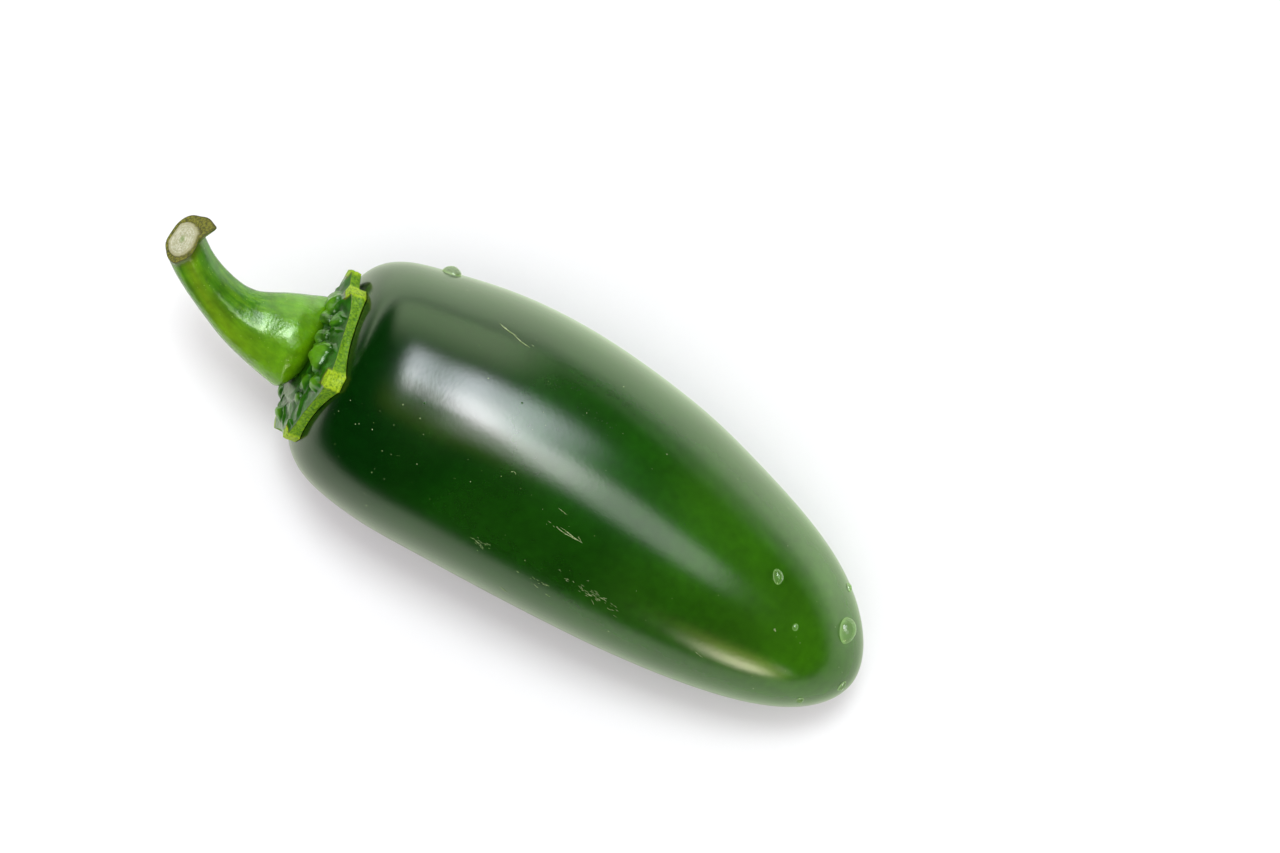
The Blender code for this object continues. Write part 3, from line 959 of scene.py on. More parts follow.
def stem_skin(settings):
    """The stem: green with painted light on a yellow-green band along its lit side, pale fibres, and a cut
    end with pale pith.
    """
    material, tree, shader = new_finish("stem_skin", ior=1.45)
    place = unbent_place(tree)
    masks = ("on_cut", "ring", "sunny", "along")
    on_cut, ring, sunny, along = (mask_named(tree, name) for name in masks)
    fibres = use_effect(tree, "fibres", place=place, width=0.5, length=6.0, depth=0.02)
    # Painted light and shade: the lit side is a lighter yellow-green than the shaded side.
    colour = blend(tree, sunny, settings.shade_colour, settings.painted_sun_colour)
    colour = blend(tree, fade(tree, along, 0.15, 0.5, 0.8, 0.0), colour, settings.base_colour)
    pale = fade(tree, fibres["Streaks"], 0.35, 0.7, 0.0, 0.55)
    colour = clouded(tree, place, blend(tree, pale, colour, settings.fibre_colour), 1.8, 0.3)
    dots = dotted(tree, place, 0.6, 0.15, 0.5)
    colour = blend(tree, times(tree, dots, 0.4), colour, STEM_DOT_COLOUR)
    # Painted shade: darker where the stem tucks in at the calyx.
    colour = blend(tree, fade(tree, along, 0.0, 0.07, 0.85, 0.0), colour, settings.fold_shade_colour)
    colour = blend(tree, fade(tree, along, 0.90, 1.0, 0.0, 0.7), colour, settings.bark_colour)
    grain = cloudy(tree, place, 3.4, 6.0)
    waver = calc(tree, "ADD", ring, times(tree, calc(tree, "SUBTRACT", grain, 0.5), 0.26))
    pith = blend(tree, fade(tree, grain, 0.35, 0.7), settings.pith_colour, settings.pale_pith_colour)
    rings = calc(tree, "SINE", times(tree, waver, GROWTH_RINGS))
    pith = blend(tree, fade(tree, rings, -1.0, 1.0, 0.0, 0.35), pith, RING_COLOUR)
    pith = blend(tree, fade(tree, waver, 0.72, 1.0, 0.0, 0.6), pith, PITH_EDGE_COLOUR)
    pith = blend(tree, fade(tree, waver, 0.05, 0.30, 0.75, 0.0), pith, PITH_HEART_COLOUR)
    cork = blend(tree, fade(tree, grain, 0.3, 0.7), settings.bark_colour, settings.cork_colour)
    face = blend(tree, fade(tree, waver, 0.94, 1.12), pith, cork)
    groove = times(tree, fade(tree, waver, 1.0, 1.07), fade(tree, waver, 1.12, 1.25, 1.0, 0.0), 0.4)
    face = blend(tree, groove, face, settings.rim_colour)
    face = blend(tree, fade(tree, waver, 1.84, 1.99, 0.0, 0.6), face, settings.rim_colour)
    colour = blend(tree, fade(tree, on_cut, 0.3, 0.8), colour, face)
    height = calc(tree, "ADD", skin_relief(tree, place, 0.45, 0.016, 0.14, 0.012), fibres["Height"])
    height = calc(tree, "ADD", height, times(tree, grain, on_cut, CRUMB_DEPTH))
    rough = fade(tree, on_cut, 0.3, 0.8, 0.24, 0.9)
    connect(tree, shader, colour, rough, height)
    return material


def cork_finish(settings):
    """Dry corky skin of old scratches."""
    material, tree, shader = new_finish("dry_cork")
    grain = cloudy(tree, own_place(tree), 4500.0, 3.0)
    pale = fade(tree, grain, 0.35, 0.65)
    colour = blend(tree, pale, settings.cork_shade_colour, settings.cork_colour)
    rough = fade(tree, grain, 0.3, 0.7, 0.5, 0.8)
    connect(tree, shader, colour, rough, times(tree, grain, CORK_DEPTH))
    return material


def scar_finish(settings):
    """Dark sunken skin of a healed graze."""
    material, tree, shader = new_finish("dark_scar", ior=1.2)
    grain = cloudy(tree, own_place(tree), 3000.0, 3.0)
    colour = blend(tree, fade(tree, grain, 0.3, 0.7), settings.scar_colour, settings.scar_edge_colour)
    rough = fade(tree, grain, 0.3, 0.7, 0.3, 0.5)
    connect(tree, shader, colour, rough, times(tree, grain, SCAR_DEPTH))
    return material


def clear_water(settings):
    """Water that lamps shine through, with a painted glow of its own that is paler at the rim."""
    material, tree, shader = new_finish("clear_water", ior=1.4, roughness=0.0, transmission_weight=1.0)
    # Painted light: the drops glow, dim in the middle and paler at the rim.
    glow = fade(tree, mask_named(tree, "rim"), 0.6, 0.97)
    glow = blend(tree, glow, settings.middle_colour, settings.rim_colour)
    tree.links.new(glow, shader.inputs["Emission Color"])
    shader.inputs["Emission Strength"].default_value = 1.0
    output = next(node for node in tree.nodes if node.type == "OUTPUT_MATERIAL")
    from_lamp = tree.nodes.new("ShaderNodeLightPath").outputs["Is Shadow Ray"]
    clear = add_node(tree, "ShaderNodeBsdfTransparent", {}, {"Color": LAMPLIT_WATER})
    inputs = {0: from_lamp, 1: shader.outputs[0], 2: clear.outputs[0]}
    mix = add_node(tree, "ShaderNodeMixShader", {}, inputs)
    tree.links.new(mix.outputs[0], output.inputs["Surface"])
    return material


# Marks on the pod's skin. Places are (along, sideways) in millimetres, looking down on it.

# Corky scratches: (start, end, widest).
SCRATCHES = (
    ((15.96, 10.97), (18.6, 10.85), 0.17),
    ((18.2, 10.72), (20.6, 10.55), 0.15),
    ((34.9, -5.45), (38.5, -5.52), 0.11),
    ((35.9, -5.30), (37.7, -5.36), 0.16),
    ((33.9, -3.50), (35.2, -3.55), 0.07),
    ((57.0, -9.32), (58.2, -9.36), 0.07),
    ((26.9, -2.95), (27.2, -2.65), 0.09),
    ((27.2, -2.66), (27.55, -2.80), 0.09),
    ((33.1, -15.55), (34.1, -15.6), 0.09),
    ((38.1, -13.14), (38.8, -13.1), 0.06),
    ((20.6, 10.95), (21.0, 10.93), 0.05),
    ((63.45, -1.80), (63.80, -1.95), 0.20),
    ((63.50, -1.98), (63.62, -1.66), 0.14),
)
# Crazed patches of short fine scratches: (middle, length, width, how many, seed).
CRAZED_PATCHES = (
    ((43.0, -10.0), 7.0, 1.3, 46, 3),
    ((28.6, -12.1), 3.4, 1.0, 16, 5),
    ((36.5, -12.6), 4.0, 1.2, 10, 6),
    ((36.8, -5.4), 5.0, 0.6, 8, 8),
)
# Dark pits of a healed graze: (middle, length, width, how many, seed).
GRAZES = (
    ((25.2, 8.6), 2.6, 1.8, 22, 11),
    ((27.8, 9.4), 2.4, 0.7, 14, 12),
    ((31.0, 7.9), 7.0, 1.4, 14, 13),
)
# Lone pits: (along, sideways, width).
PITS = ((23.57, 4.59, 0.34), (13.94, -1.68, 0.3), (29.3, 7.7, 0.3), (9.5, 9.5, 0.22), (47.5, 3.0, 0.2))
# Water drops: (along, sideways, length, width, height, turn in degrees).
DROPS = (
    (71.40, 2.70, 2.9, 3.3, 1.15, 14.0),
    (60.42, 3.72, 1.40, 2.0, 0.60, 42.0),
    (65.60, -0.28, 0.8, 1.0, 0.32, 25.0),
    (74.9, -3.4, 1.0, 1.5, 0.45, 0.0),
    (71.4, -7.6, 1.1, 1.0, 0.40, 20.0),
    (69.0, 7.2, 0.8, 1.2, 0.40, 0.0),
    (7.3, 13.05, 2.9, 2.4, 0.85, -14.0),
)


def places_on_skin(seen):
    """(places, normals) on the pod right below places seen from above."""
    seen = np.asarray(seen, float)
    above = np.column_stack([seen[:, 0], seen[:, 1], np.full(len(seen), 60.0)])
    return skin_at(bpy.data.objects[POD], above, Vector((0.0, 0.0, -1.0)))


def scattered_scratches():
    """(start, end, width) of the short scratches in the crazed patches."""
    found = []
    for (x, y), length, width, count, seed in CRAZED_PATCHES:
        random = np.random.default_rng(seed)
        spread = random.normal(0.0, 0.25, (count, 2)) * (length, width)
        sizes = random.uniform(0.18, 0.75, count)
        slants = random.normal(0.0, 0.25, count)
        for (dx, dy), size, slant in zip(spread, sizes, slants):
            start = (x + dx - size / 2.0, y + dy - size * slant / 2.0)
            end = (x + dx + size / 2.0, y + dy + size * slant / 2.0)
            found.append((start, end, 0.025 + 0.04 * size))
    return found


def scratch_curves(scratches, points=9):
    """One curve object with a spline for each scratch, lying on the skin."""
    curve = bpy.data.curves.new("scratch_lines", "CURVE")
    curve.dimensions = "3D"
    random = np.random.default_rng(21)
    for start, end, width in scratches:
        share = np.linspace(0.0, 1.0, points)[:, None]
        line = np.array(start) * (1.0 - share) + np.array(end) * share
        length = math.dist(start, end)
        sway = 0.03 * length * np.sin(share[:, 0] * 4.0 + length)
        line[:, 1] += random.normal(0.0, 0.012, points) + sway
        places, normals = places_on_skin(line)
        spline = curve.splines.new("POLY")
        spline.points.add(points - 1)
        spots = ((places + normals * 0.01 + ROW_SHIFT) * MM).tolist()
        widths = width / 2.0 * np.sqrt(np.sin(math.pi * np.clip(share[:, 0], 0.03, 0.97)))
        widths *= random.uniform(0.65, 1.1, points)
        for point, spot, half in zip(spline.points, spots, widths.tolist()):
            point.co = (*spot, 1.0)
            point.radius = half * MM
    return link_object("scratch_lines", curve)


def geometry_tree(name, *inputs):
    """An empty geometry tree with a geometry input and output and named inputs."""
    geometry = ("Geometry", "Geometry")
    return new_tree("GeometryNodeTree", name, (geometry, *inputs), (geometry,))


def set_finish(tree, geometry, given, result):
    """Ends a geometry tree: smooth faces of the given finish."""
    smooth = add_node(tree, "GeometryNodeSetShadeSmooth", {}, {"Geometry": geometry}).outputs[0]
    inputs = {"Geometry": smooth, "Material": given["Finish"]}
    finished = add_node(tree, "GeometryNodeSetMaterial", {}, inputs).outputs[0]
    tree.links.new(finished, result.inputs["Geometry"])


def bake_tree(source, tree, name, values):
    """Runs a geometry tree on a source object and returns its result as a plain mesh object."""
    modifier = source.modifiers.new(name, "NODES")
    modifier.node_group = tree
    for item in tree.interface.items_tree:
        if item.in_out == "INPUT" and item.name in values:
            modifier[item.identifier] = values[item.name]
    evaluated = source.evaluated_get(bpy.context.evaluated_depsgraph_get())
    mesh = bpy.data.meshes.new_from_object(evaluated)
    source.modifiers.remove(modifier)
    mesh.name = name
    face_out(mesh)
    return link_object(name, mesh)


def scratch_tree():
    """Sweeps a round section, as wide as each point's radius, along scratch lines."""
    tree, given, result = geometry_tree("sweep_scratches", ("Sides", "Int", 6), ("Finish", "Material"))
    inputs = {"Resolution": given["Sides"], "Radius": 1.0}
    ring = add_node(tree, "GeometryNodeCurvePrimitiveCircle", {}, inputs).outputs[0]
    radius = tree.nodes.new("GeometryNodeInputRadius").outputs[0]
    inputs = {"Curve": given["Geometry"], "Profile Curve": ring, "Scale": radius, "Fill Caps": True}
    swept = add_node(tree, "GeometryNodeCurveToMesh", {}, inputs).outputs[0]
    set_finish(tree, swept, given, result)
    return tree


def speck_tree():
    """Scatters flat round specks over a skin, most of them where its mask is high."""
    inputs = (
        ("Density", "Float", 10000.0),
        ("Speck size", "Float", 0.0001),
        ("Flatness", "Float", 0.3),
        ("Seed", "Int", 1),
        ("Finish", "Material"),
    )
    tree, given, result = geometry_tree("scatter_specks", *inputs)
    as_number = {"data_type": "FLOAT"}
    inputs = {"Name": "specks"}
    share = add_node(tree, "GeometryNodeInputNamedAttribute", as_number, inputs).outputs[0]
    density = times(tree, given["Density"], share)
    inputs = {"Mesh": given["Geometry"], "Density": density, "Seed": given["Seed"]}
    at_random = {"distribute_method": "RANDOM"}
    points = add_node(tree, "GeometryNodeDistributePointsOnFaces", at_random, inputs).outputs
    inputs = {2: 0.35, 3: 1.0, "Seed": given["Seed"]}
    size = add_node(tree, "FunctionNodeRandomValue", as_number, inputs).outputs[1]
    size = times(tree, calc(tree, "POWER", size, 2.0), given["Speck size"])
    depth = times(tree, size, given["Flatness"])
    scale = add_node(tree, "ShaderNodeCombineXYZ", {}, {0: size, 1: size, 2: depth}).outputs[0]
    ball = add_node(tree, "GeometryNodeMeshIcoSphere", {}, {"Radius": 1.0, "Subdivisions": 2}).outputs[0]
    inputs = {"Points": points["Points"], "Rotation": points["Rotation"]}
    inputs.update(Instance=ball, Scale=scale)
    placed = add_node(tree, "GeometryNodeInstanceOnPoints", {}, inputs).outputs[0]
    whole = add_node(tree, "GeometryNodeRealizeInstances", {}, {"Geometry": placed}).outputs[0]
    set_finish(tree, whole, given, result)
    return tree


def grow_scratches(settings):
    finish = cork_finish(settings)
    lines = scratch_curves(list(SCRATCHES) + scattered_scratches())
    obj = bake_tree(lines, scratch_tree(), "corky_scratches", {"Sides": 6, "Finish": finish})
    bpy.data.objects.remove(lines)
    finish_piece(obj, finish)


def grow_specks(settings):
    """Pale specks, thickest on the shaded side of the shoulder."""
    pod = bpy.data.objects[POD]
    bed = link_object("speck_bed", pod.data.copy())
    places = np.empty(len(bed.data.vertices) * 3, np.float32)
    bed.data.vertices.foreach_get("co", places)
    x, y, z = (places.reshape(-1, 3) / MM - ROW_SHIFT).T
    shoulder = bell((x - 9.0) / 11.0, (y + 8.0) / 6.0)
    shares = 0.10 + 0.9 * shoulder * ease((z - 6.0) / 8.0)
    specks = bed.data.attributes.new("specks", "FLOAT", "POINT")
    specks.data.foreach_set("value", shares.astype(np.float32))
    finish = cork_finish(settings)
    values = {
        "Density": settings.speck_density,
        "Speck size": settings.speck_size,
        "Flatness": 0.35,
        "Seed": settings.seed,
        "Finish": finish,
    }
    obj = bake_tree(bed, speck_tree(), "pale_specks", values)
    bpy.data.objects.remove(bed)
    finish_piece(obj, finish)


def low_dome(place, normal, size, turn, rings, sides, sink, seed):
    """A closed low dome on the skin, in the plant's frame: (points of its rings, its two poles).

    size is its length, width and height, turn is in radians and sink is how deep its rim goes."""
    length, width, height = size
    pod = bpy.data.objects[POD]
    first = unit(np.cross((0.0, 1.0, 0.0), normal))
    second = np.cross(normal, first)
    angle = angles_round(sides)
    wobble = 1.0 + 0.05 * np.sin(2.0 * angle + seed) + 0.03 * np.sin(3.0 * angle + 2.0 * seed)
    out = np.sin(np.linspace(0.0, math.pi / 2.0, rings + 1)[1:])[:, None]
    east = out * wobble * length / 2.0 * np.cos(angle)
    north = out * wobble * width / 2.0 * np.sin(angle)
    turned_east = east * math.cos(turn) - north * math.sin(turn)
    turned_north = east * math.sin(turn) + north * math.cos(turn)
    spread = place + turned_east[..., None] * first + turned_north[..., None] * second
    skin, normals = skin_at(pod, spread)
    swell = height * (1.0 - out**2) ** 0.62
    top = skin + normals * (swell - sink * out)[..., None]
    under = skin[-2::-2] - normals[-2::-2] * (sink * 1.6)
    return np.concatenate([top, under]), np.array([place + normal * height, place - normal * sink * 1.6])


def join_domes(name, domes):
    """One object from many closed domes; each vertex knows how near its dome's rim it is."""
    parts = []
    for i, (grid, poles) in enumerate(domes):
        rows = np.concatenate([np.linspace(0.0, 1.0, 2 * len(grid) // 3), np.ones(len(grid))])
        rim = np.broadcast_to(rows[: len(grid), None], grid.shape[:2])
        parts.append(closed_skin(f"{name}_{i}", grid, poles, {"rim": (0.0, rim, 1.0)}))
    merged = bmesh.new()
    for part in parts:
        merged.from_mesh(part.data)
        mesh = part.data
        bpy.data.objects.remove(part)
        bpy.data.meshes.remove(mesh)
    mesh = bpy.data.meshes.new(name)
    merged.to_mesh(mesh)
    merged.free()
    mesh.shade_smooth()
    return link_object(name, mesh)


def grow_grazes(settings):
    """Dark pits, scattered over each graze and set one by one."""
    spots = [(x, y, size, size * 0.8) for x, y, size in PITS]
    for (x, y), length, width, count, seed in GRAZES:
        random = np.random.default_rng(seed)
        spread = random.normal(0.0, 0.24, (count, 2)) * (length, width)
        sizes = random.uniform(0.10, 0.34, (count, 2))
        spots += [(x + dx, y + dy, 1.3 * a, 0.8 * b) for (dx, dy), (a, b) in zip(spread, sizes)]
    places, normals = places_on_skin([spot[:2] for spot in spots])
    domes = []
    for i, (place, normal, spot) in enumerate(zip(places, normals, spots)):
        domes.append(low_dome(place, normal, (*spot[2:], 0.008), 0.7 * i, 3, 10, 0.004, i))
    finish_piece(join_domes("graze_spots", domes), scar_finish(settings))


def add_drops(settings):
    places, normals = places_on_skin([drop[:2] for drop in DROPS])
    domes = []
    for i, (place, normal, drop) in enumerate(zip(places, normals, DROPS)):
        fineness = settings.rings, settings.sides
        domes.append(low_dome(place, normal, drop[2:5], math.radians(drop[5]), *fineness, 0.04, i))
    finish_piece(join_domes("water_drops", domes), clear_water(settings))


# Studio

WHITE, COOL, WARM = (1.0, 1.0, 1.0), (0.93, 1.0, 1.0), (1.0, 0.93, 0.74)
BLUE, ROSY, OLIVE = (0.93, 0.98, 1.06), (1.05, 1.0, 1.03), (0.83, 1.0, 0.0)
LEAF, STRAW = (0.92, 1.17, 0.73), (0.95, 1.0, 0.22)
FLOOR_GRAIN_COLOUR = (0.86, 0.86, 0.87)
# The floor in the gloss: a painted green reflection tint, and painted shadow on its shaded side.
FLOOR_GLOSS_COLOUR = (0.80, 0.87, 0.70)
FLOOR_REFLECTED_SHADOW_COLOUR = (0.03, 0.03, 0.03)
FILL_TINT = (1.0, 0.955, 0.975)
# Lamps that light what is dull but don't show in the gloss, and lamps that only show in it. Each is
# (name, lean along and across, width and height, its setting, share of that setting, colour, how
# much of it fades towards its stem, tip, near and far edge). Leans and sizes are in degrees.
DULL_LAMPS = (
    ("light", (-8.0, 16.0), (20.0, 20.0), "light", 1.0, COOL, (0.3, 0.3, 0.3, 0.3)),
    ("overhead", (0.0, 6.0), (70.0, 70.0), "overhead", 1.0, WHITE, (0.3, 0.3, 0.3, 0.3)),
)
GLOSS_LAMPS = (
    ("window", (-5.0, 32.0), (42.0, 44.0), "window", 1.0, BLUE, (0.3, 0.5, 0.16, 0.4)),
    ("window_end", (-20.5, 34.5), (13.5, 34.0), "window", 1.05, BLUE, (0.1, 0.6, 0.15, 0.45)),
    ("window_core", (-10.5, 23.0), (28.0, 27.0), "core", 0.85, ROSY, (0.2, 0.65, 0.1, 0.7)),
    ("window_foot", (9.0, 11.5), (24.0, 29.0), "window", 0.6, WHITE, (0.4, 0.4, 0.3, 0.5)),
    ("window_sill", (-3.5, 9.5), (25.0, 12.0), "window", 0.9, ROSY, (0.25, 0.5, 0.35, 0.4)),
    ("olive_card", (-14.0, -4.0), (60.0, 34.0), "olive", 1.0, OLIVE, (0.4, 0.4, 0.4, 0.4)),
    ("ceiling", (12.0, 7.5), (70.0, 38.0), "ceiling", 1.0, WHITE, (0.25, 0.12, 0.35, 0.35)),
    ("side_card", (-36.0, 65.0), (54.0, 56.0), "card", 1.0, LEAF, (0.3, 0.35, 0.6, 0.1)),
    ("far_wall", (60.0, 60.0), (110.0, 16.0), "card", 0.32, LEAF, (0.2, 0.4, 0.6, 0.2)),
    ("low_lamp", (55.0, -68.0), (24.0, 22.0), "low", 0.9, WARM, (0.45, 0.45, 0.4, 0.4)),
    ("low_card", (56.0, -60.0), (28.0, 32.0), "low", 0.26, STRAW, (0.4, 0.4, 0.4, 0.4)),
    ("far_lamp", (68.0, -48.0), (9.0, 12.0), "low", 0.25, WARM, (0.4, 0.4, 0.4, 0.4)),
)
LAMP_DISTANCE = 1.5
CAMERA_TURN = math.radians(33.0)


def add_floor(settings):
    """A white card; in the gloss only it has a painted green reflection tint, painted light on its sunny
    side and painted shadow on its shaded side and behind the stem.
    """
    mesh = bpy.data.meshes.new("floor")
    half = settings.floor_width / 2.0
    corners = [(x * half, y * half, 0.0) for x, y in ((-1, -1), (1, -1), (1, 1), (-1, 1))]
    mesh.from_pydata(corners, [], [(0, 1, 2, 3)])
    floor = link_object("floor", mesh)
    material, tree, shader = new_finish("white_card", roughness=0.9, specular_ior_level=0.1)
    place = own_place(tree)
    plain = blend(tree, cloudy(tree, place, 60.0, 2.0), settings.floor_colour, FLOOR_GRAIN_COLOUR)
    along, across = add_node(tree, "ShaderNodeSeparateXYZ", {}, {0: place}).outputs[:2]
    in_gloss = tree.nodes.new("ShaderNodeLightPath").outputs["Is Glossy Ray"]
    # Painted reflection: in the gloss the floor takes a green tint.
    plain = blend(tree, in_gloss, plain, FLOOR_GLOSS_COLOUR)
    # Painted shadow in the gloss: dark on the floor's shaded side and behind the stem.
    stem_side = fade(tree, along, -0.12, -0.05, 1.0, 0.0)
    behind = times(tree, stem_side, fade(tree, across, 0.02, 0.1, 1.0, 0.0))
    dim = calc(tree, "MAXIMUM", fade(tree, across, -0.25, -0.08, 1.0, 0.0), behind)
    connect(tree, shader, blend(tree, times(tree, dim, in_gloss), plain, FLOOR_REFLECTED_SHADOW_COLOUR))
    # Painted light in the gloss: a green glow on the floor's sunny side.
    sunny = times(tree, fade(tree, across, 0.0, 0.05), fade(tree, across, 0.08, 0.25, 1.0, 0.2))
    glow = times(tree, sunny, fade(tree, along, 0.06, 0.2, 1.0, 0.35), in_gloss)
    tree.links.new(blend(tree, glow, (0.0, 0.0, 0.0), LEAF), shader.inputs["Emission Color"])
    shader.inputs["Emission Strength"].default_value = settings.floor_glow
    floor.data.materials.append(material)


def add_softbox(name, tilt, spread, radiance, colour, soft, gloss):
    """A rectangular lamp aimed at the pod, as a row of the tables above says.

    With gloss it shows in glossy skins only, and without it lights what is dull."""
    lean, way = math.radians(math.hypot(*tilt)), math.atan2(tilt[1], tilt[0])
    towards = Vector((math.sin(lean) * math.cos(way), math.sin(lean) * math.sin(way), math.cos(lean)))
    across = (Vector((1.0, 0.0, 0.0)) - towards * towards.x).normalized()
    turn = Matrix((across, towards.cross(across), towards)).transposed()
    width, height = (2.0 * LAMP_DISTANCE * math.tan(math.radians(angle) / 2.0) for angle in spread)
    light = bpy.data.lights.new(name, "AREA")
    light.shape = "RECTANGLE"
    light.size, light.size_y = width, height
    light.energy = radiance * math.pi * width * height
    light.color = colour
    light.use_nodes = True
    tree = light.node_tree
    emission = next(node for node in tree.nodes if node.type == "EMISSION")
    place = tree.nodes.new("ShaderNodeNewGeometry").outputs["Parametric"]
    across_it, up_it = add_node(tree, "ShaderNodeSeparateXYZ", {}, {0: place}).outputs[:2]
    level = 1.0
    for share, (start, end) in ((across_it, soft[:2]), (up_it, soft[2:])):
        level = calc(tree, "MULTIPLY", level, fade(tree, share, 0.0, start))
        level = calc(tree, "MULTIPLY", level, fade(tree, share, 1.0 - end, 1.0, 1.0, 0.0))
    tree.links.new(level, emission.inputs["Strength"])
    lamp = link_object(name, light)
    middle = (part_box("pod")[0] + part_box("pod")[1]) / 2.0
    lamp.matrix_world = Matrix.Translation(middle + towards * LAMP_DISTANCE) @ turn.to_4x4()
    lamp.visible_camera = False
    lamp.visible_diffuse = not gloss
    lamp.visible_glossy = gloss
    lamp.visible_transmission = gloss


def set_world(settings):
    """Pale behind the stage, darker in reflections, and a soft fill for everything else."""
    world = bpy.data.worlds.new("studio")
    bpy.context.scene.world = world
    world.use_nodes = True
    tree = world.node_tree
    background = next(node for node in tree.nodes if node.type == "BACKGROUND")
    path = tree.nodes.new("ShaderNodeLightPath").outputs
    fill = tuple(settings.fill * share for share in FILL_TINT)
    level = blend(tree, path["Is Glossy Ray"], fill, (settings.dark_room,) * 3)
    level = blend(tree, path["Is Camera Ray"], level, (settings.backdrop,) * 3)
    tree.links.new(level, background.inputs["Color"])


def add_camera(settings):
    """A long lens straight above the stage."""
    camera = bpy.data.cameras.new("camera")
    camera.lens = settings.camera_lens
    camera.sensor_width = 36.0
    holder = link_object("camera", camera)
    holder.location = (settings.camera_along, settings.camera_across, settings.camera_height)
    holder.rotation_euler = (0.0, 0.0, settings.camera_turn)
    bpy.context.scene.camera = holder


def build_studio(settings):
    scene = bpy.context.scene
    scene.view_settings.view_transform = "Standard"
    scene.view_settings.look = "None"
    add_floor(settings)
    for lamps, gloss in ((DULL_LAMPS, False), (GLOSS_LAMPS, True)):
        for name, tilt, spread, setting, share, colour, soft in lamps:
            radiance = share * getattr(settings, setting)
            add_softbox(name, tilt, spread, radiance, colour, soft, gloss)
    set_world(settings)
    add_camera(settings)


# Settings, operators and panel


def number_of(name, default, text, **extra):
    return bpy.props.FloatProperty(name=name, default=default, description=text, **extra)


def count_of(name, default, text):
    return bpy.props.IntProperty(name=name, default=default, min=3, description=text)


def length_of(name, default, text):
    return number_of(name, default, text, unit="LENGTH", precision=6)


def colour_of(name, default, text):
    given = {"name": name, "default": default, "description": text}
    return bpy.props.FloatVectorProperty(subtype="COLOR", size=3, min=0.0, max=1.0, **given)


class PodSettings(bpy.types.PropertyGroup):
    """Sizes and colours of the pod."""

    rings: count_of("Rings", 300, "Rings of faces along the pod")
    sides: count_of("Sides", 300, "Faces round the pod")
    swell: length_of("Swell", 0.00012, "How far the slow swells of the skin rise")
    ripple: length_of("Ripple", 0.0000025, "How far the small ripples of the skin rise")
    shoulder_colour: colour_of("Shoulder", (0.0004, 0.022, 0.0003), "Skin colour at the stem end")
    belly_colour: colour_of("Belly", (0.005, 0.050, 0.0002), "Skin colour in the middle")
    tip_colour: colour_of("Tip", (0.027, 0.118, 0.0002), "Skin colour at the tip")


class CalyxSettings(bpy.types.PropertyGroup):
    """Sizes and colours of the calyx."""

    rings: count_of("Rings", 90, "Rings of faces from its middle to its edge")
    sides: count_of("Sides", 720, "Faces round it")
    skin_colour: colour_of("Skin", (0.014, 0.100, 0.0005), "Colour of its outer face")
    knob_colour: colour_of("Knobs", (0.080, 0.245, 0.002), "Colour of the knobs on its outer face")
    # Painted shade in the calyx's creases.
    crease_shade_colour: colour_of("Crease", (0.006, 0.040, 0.0003), "Colour in its creases")
    trim_colour: colour_of("Trim", (0.045, 0.150, 0.0006), "Colour of its trimmed edge")
    pale_trim_colour: colour_of("Pale trim", (0.170, 0.340, 0.001), "Colour of pale grains in its edge")
    tooth_colour: colour_of("Teeth", (0.340, 0.500, 0.006), "Colour of the palest grains on its teeth")


class StemSettings(bpy.types.PropertyGroup):
    """Sizes and colours of the stem."""

    rings: count_of("Rings", 180, "Rings of faces along the stem")
    sides: count_of("Sides", 240, "Faces round the stem")
    # Painted light and shade: the stem's lit and shaded sides as two colours.
    shade_colour: colour_of("Shaded side", (0.034, 0.150, 0.0006), "Colour of its shaded side")
    painted_sun_colour: colour_of("Sunny side", (0.115, 0.225, 0.0006), "Colour of its sunny band")
    # Painted shade where the stem tucks in at the calyx.
    fold_shade_colour: colour_of("Fold", (0.015, 0.080, 0.0005), "Colour where it tucks in at the calyx")
    base_colour: colour_of("Base", (0.100, 0.285, 0.0006), "Colour of its swollen base")
    fibre_colour: colour_of("Fibres", (0.120, 0.290, 0.001), "Colour of the fibres in its skin")
    bark_colour: colour_of("Bark", (0.050, 0.055, 0.003), "Colour of its rim at the cut")
    cork_colour: colour_of("Cork", (0.210, 0.210, 0.010), "Colour of the pale cork in the cut")
    rim_colour: colour_of("Dark rim", (0.045, 0.035, 0.008), "Colour of the dark line round the cut")
    pith_colour: colour_of("Pith", (0.400, 0.400, 0.250), "Colour of the pith")
    pale_pith_colour: colour_of("Pale pith", (0.620, 0.620, 0.470), "Colour of the palest pith")


class MarkSettings(bpy.types.PropertyGroup):
    """Sizes and colours of the marks on the skin."""

    speck_density: number_of("Speck density", 200000.0, "Most specks to a square metre")
    speck_size: length_of("Speck size", 0.00008, "Half width of the widest speck")
    seed: bpy.props.IntProperty(name="Seed", default=4, description="Where the specks fall")
    cork_colour: colour_of("Cork", (0.380, 0.440, 0.230), "Colour of dry scratches")
    cork_shade_colour: colour_of("Cork shade", (0.100, 0.170, 0.020), "Darker colour of dry scratches")
    scar_colour: colour_of("Scar", (0.004, 0.025, 0.002), "Colour of the healed graze")
    scar_edge_colour: colour_of("Scar edge", (0.012, 0.060, 0.003), "Lighter colour of the healed graze")


class DropSettings(bpy.types.PropertyGroup):
    """Fineness and colours of the water drops."""

    rings: count_of("Rings", 24, "Rings of faces up each drop")
    sides: count_of("Sides", 64, "Faces round each drop")
    # Painted light: colours of the drops' own glow.
    middle_colour: colour_of("Middle", (0.060, 0.090, 0.032), "Light the middle of a drop gathers")
    rim_colour: colour_of("Rim", (0.20, 0.30, 0.11), "Light the rim of a drop gathers")


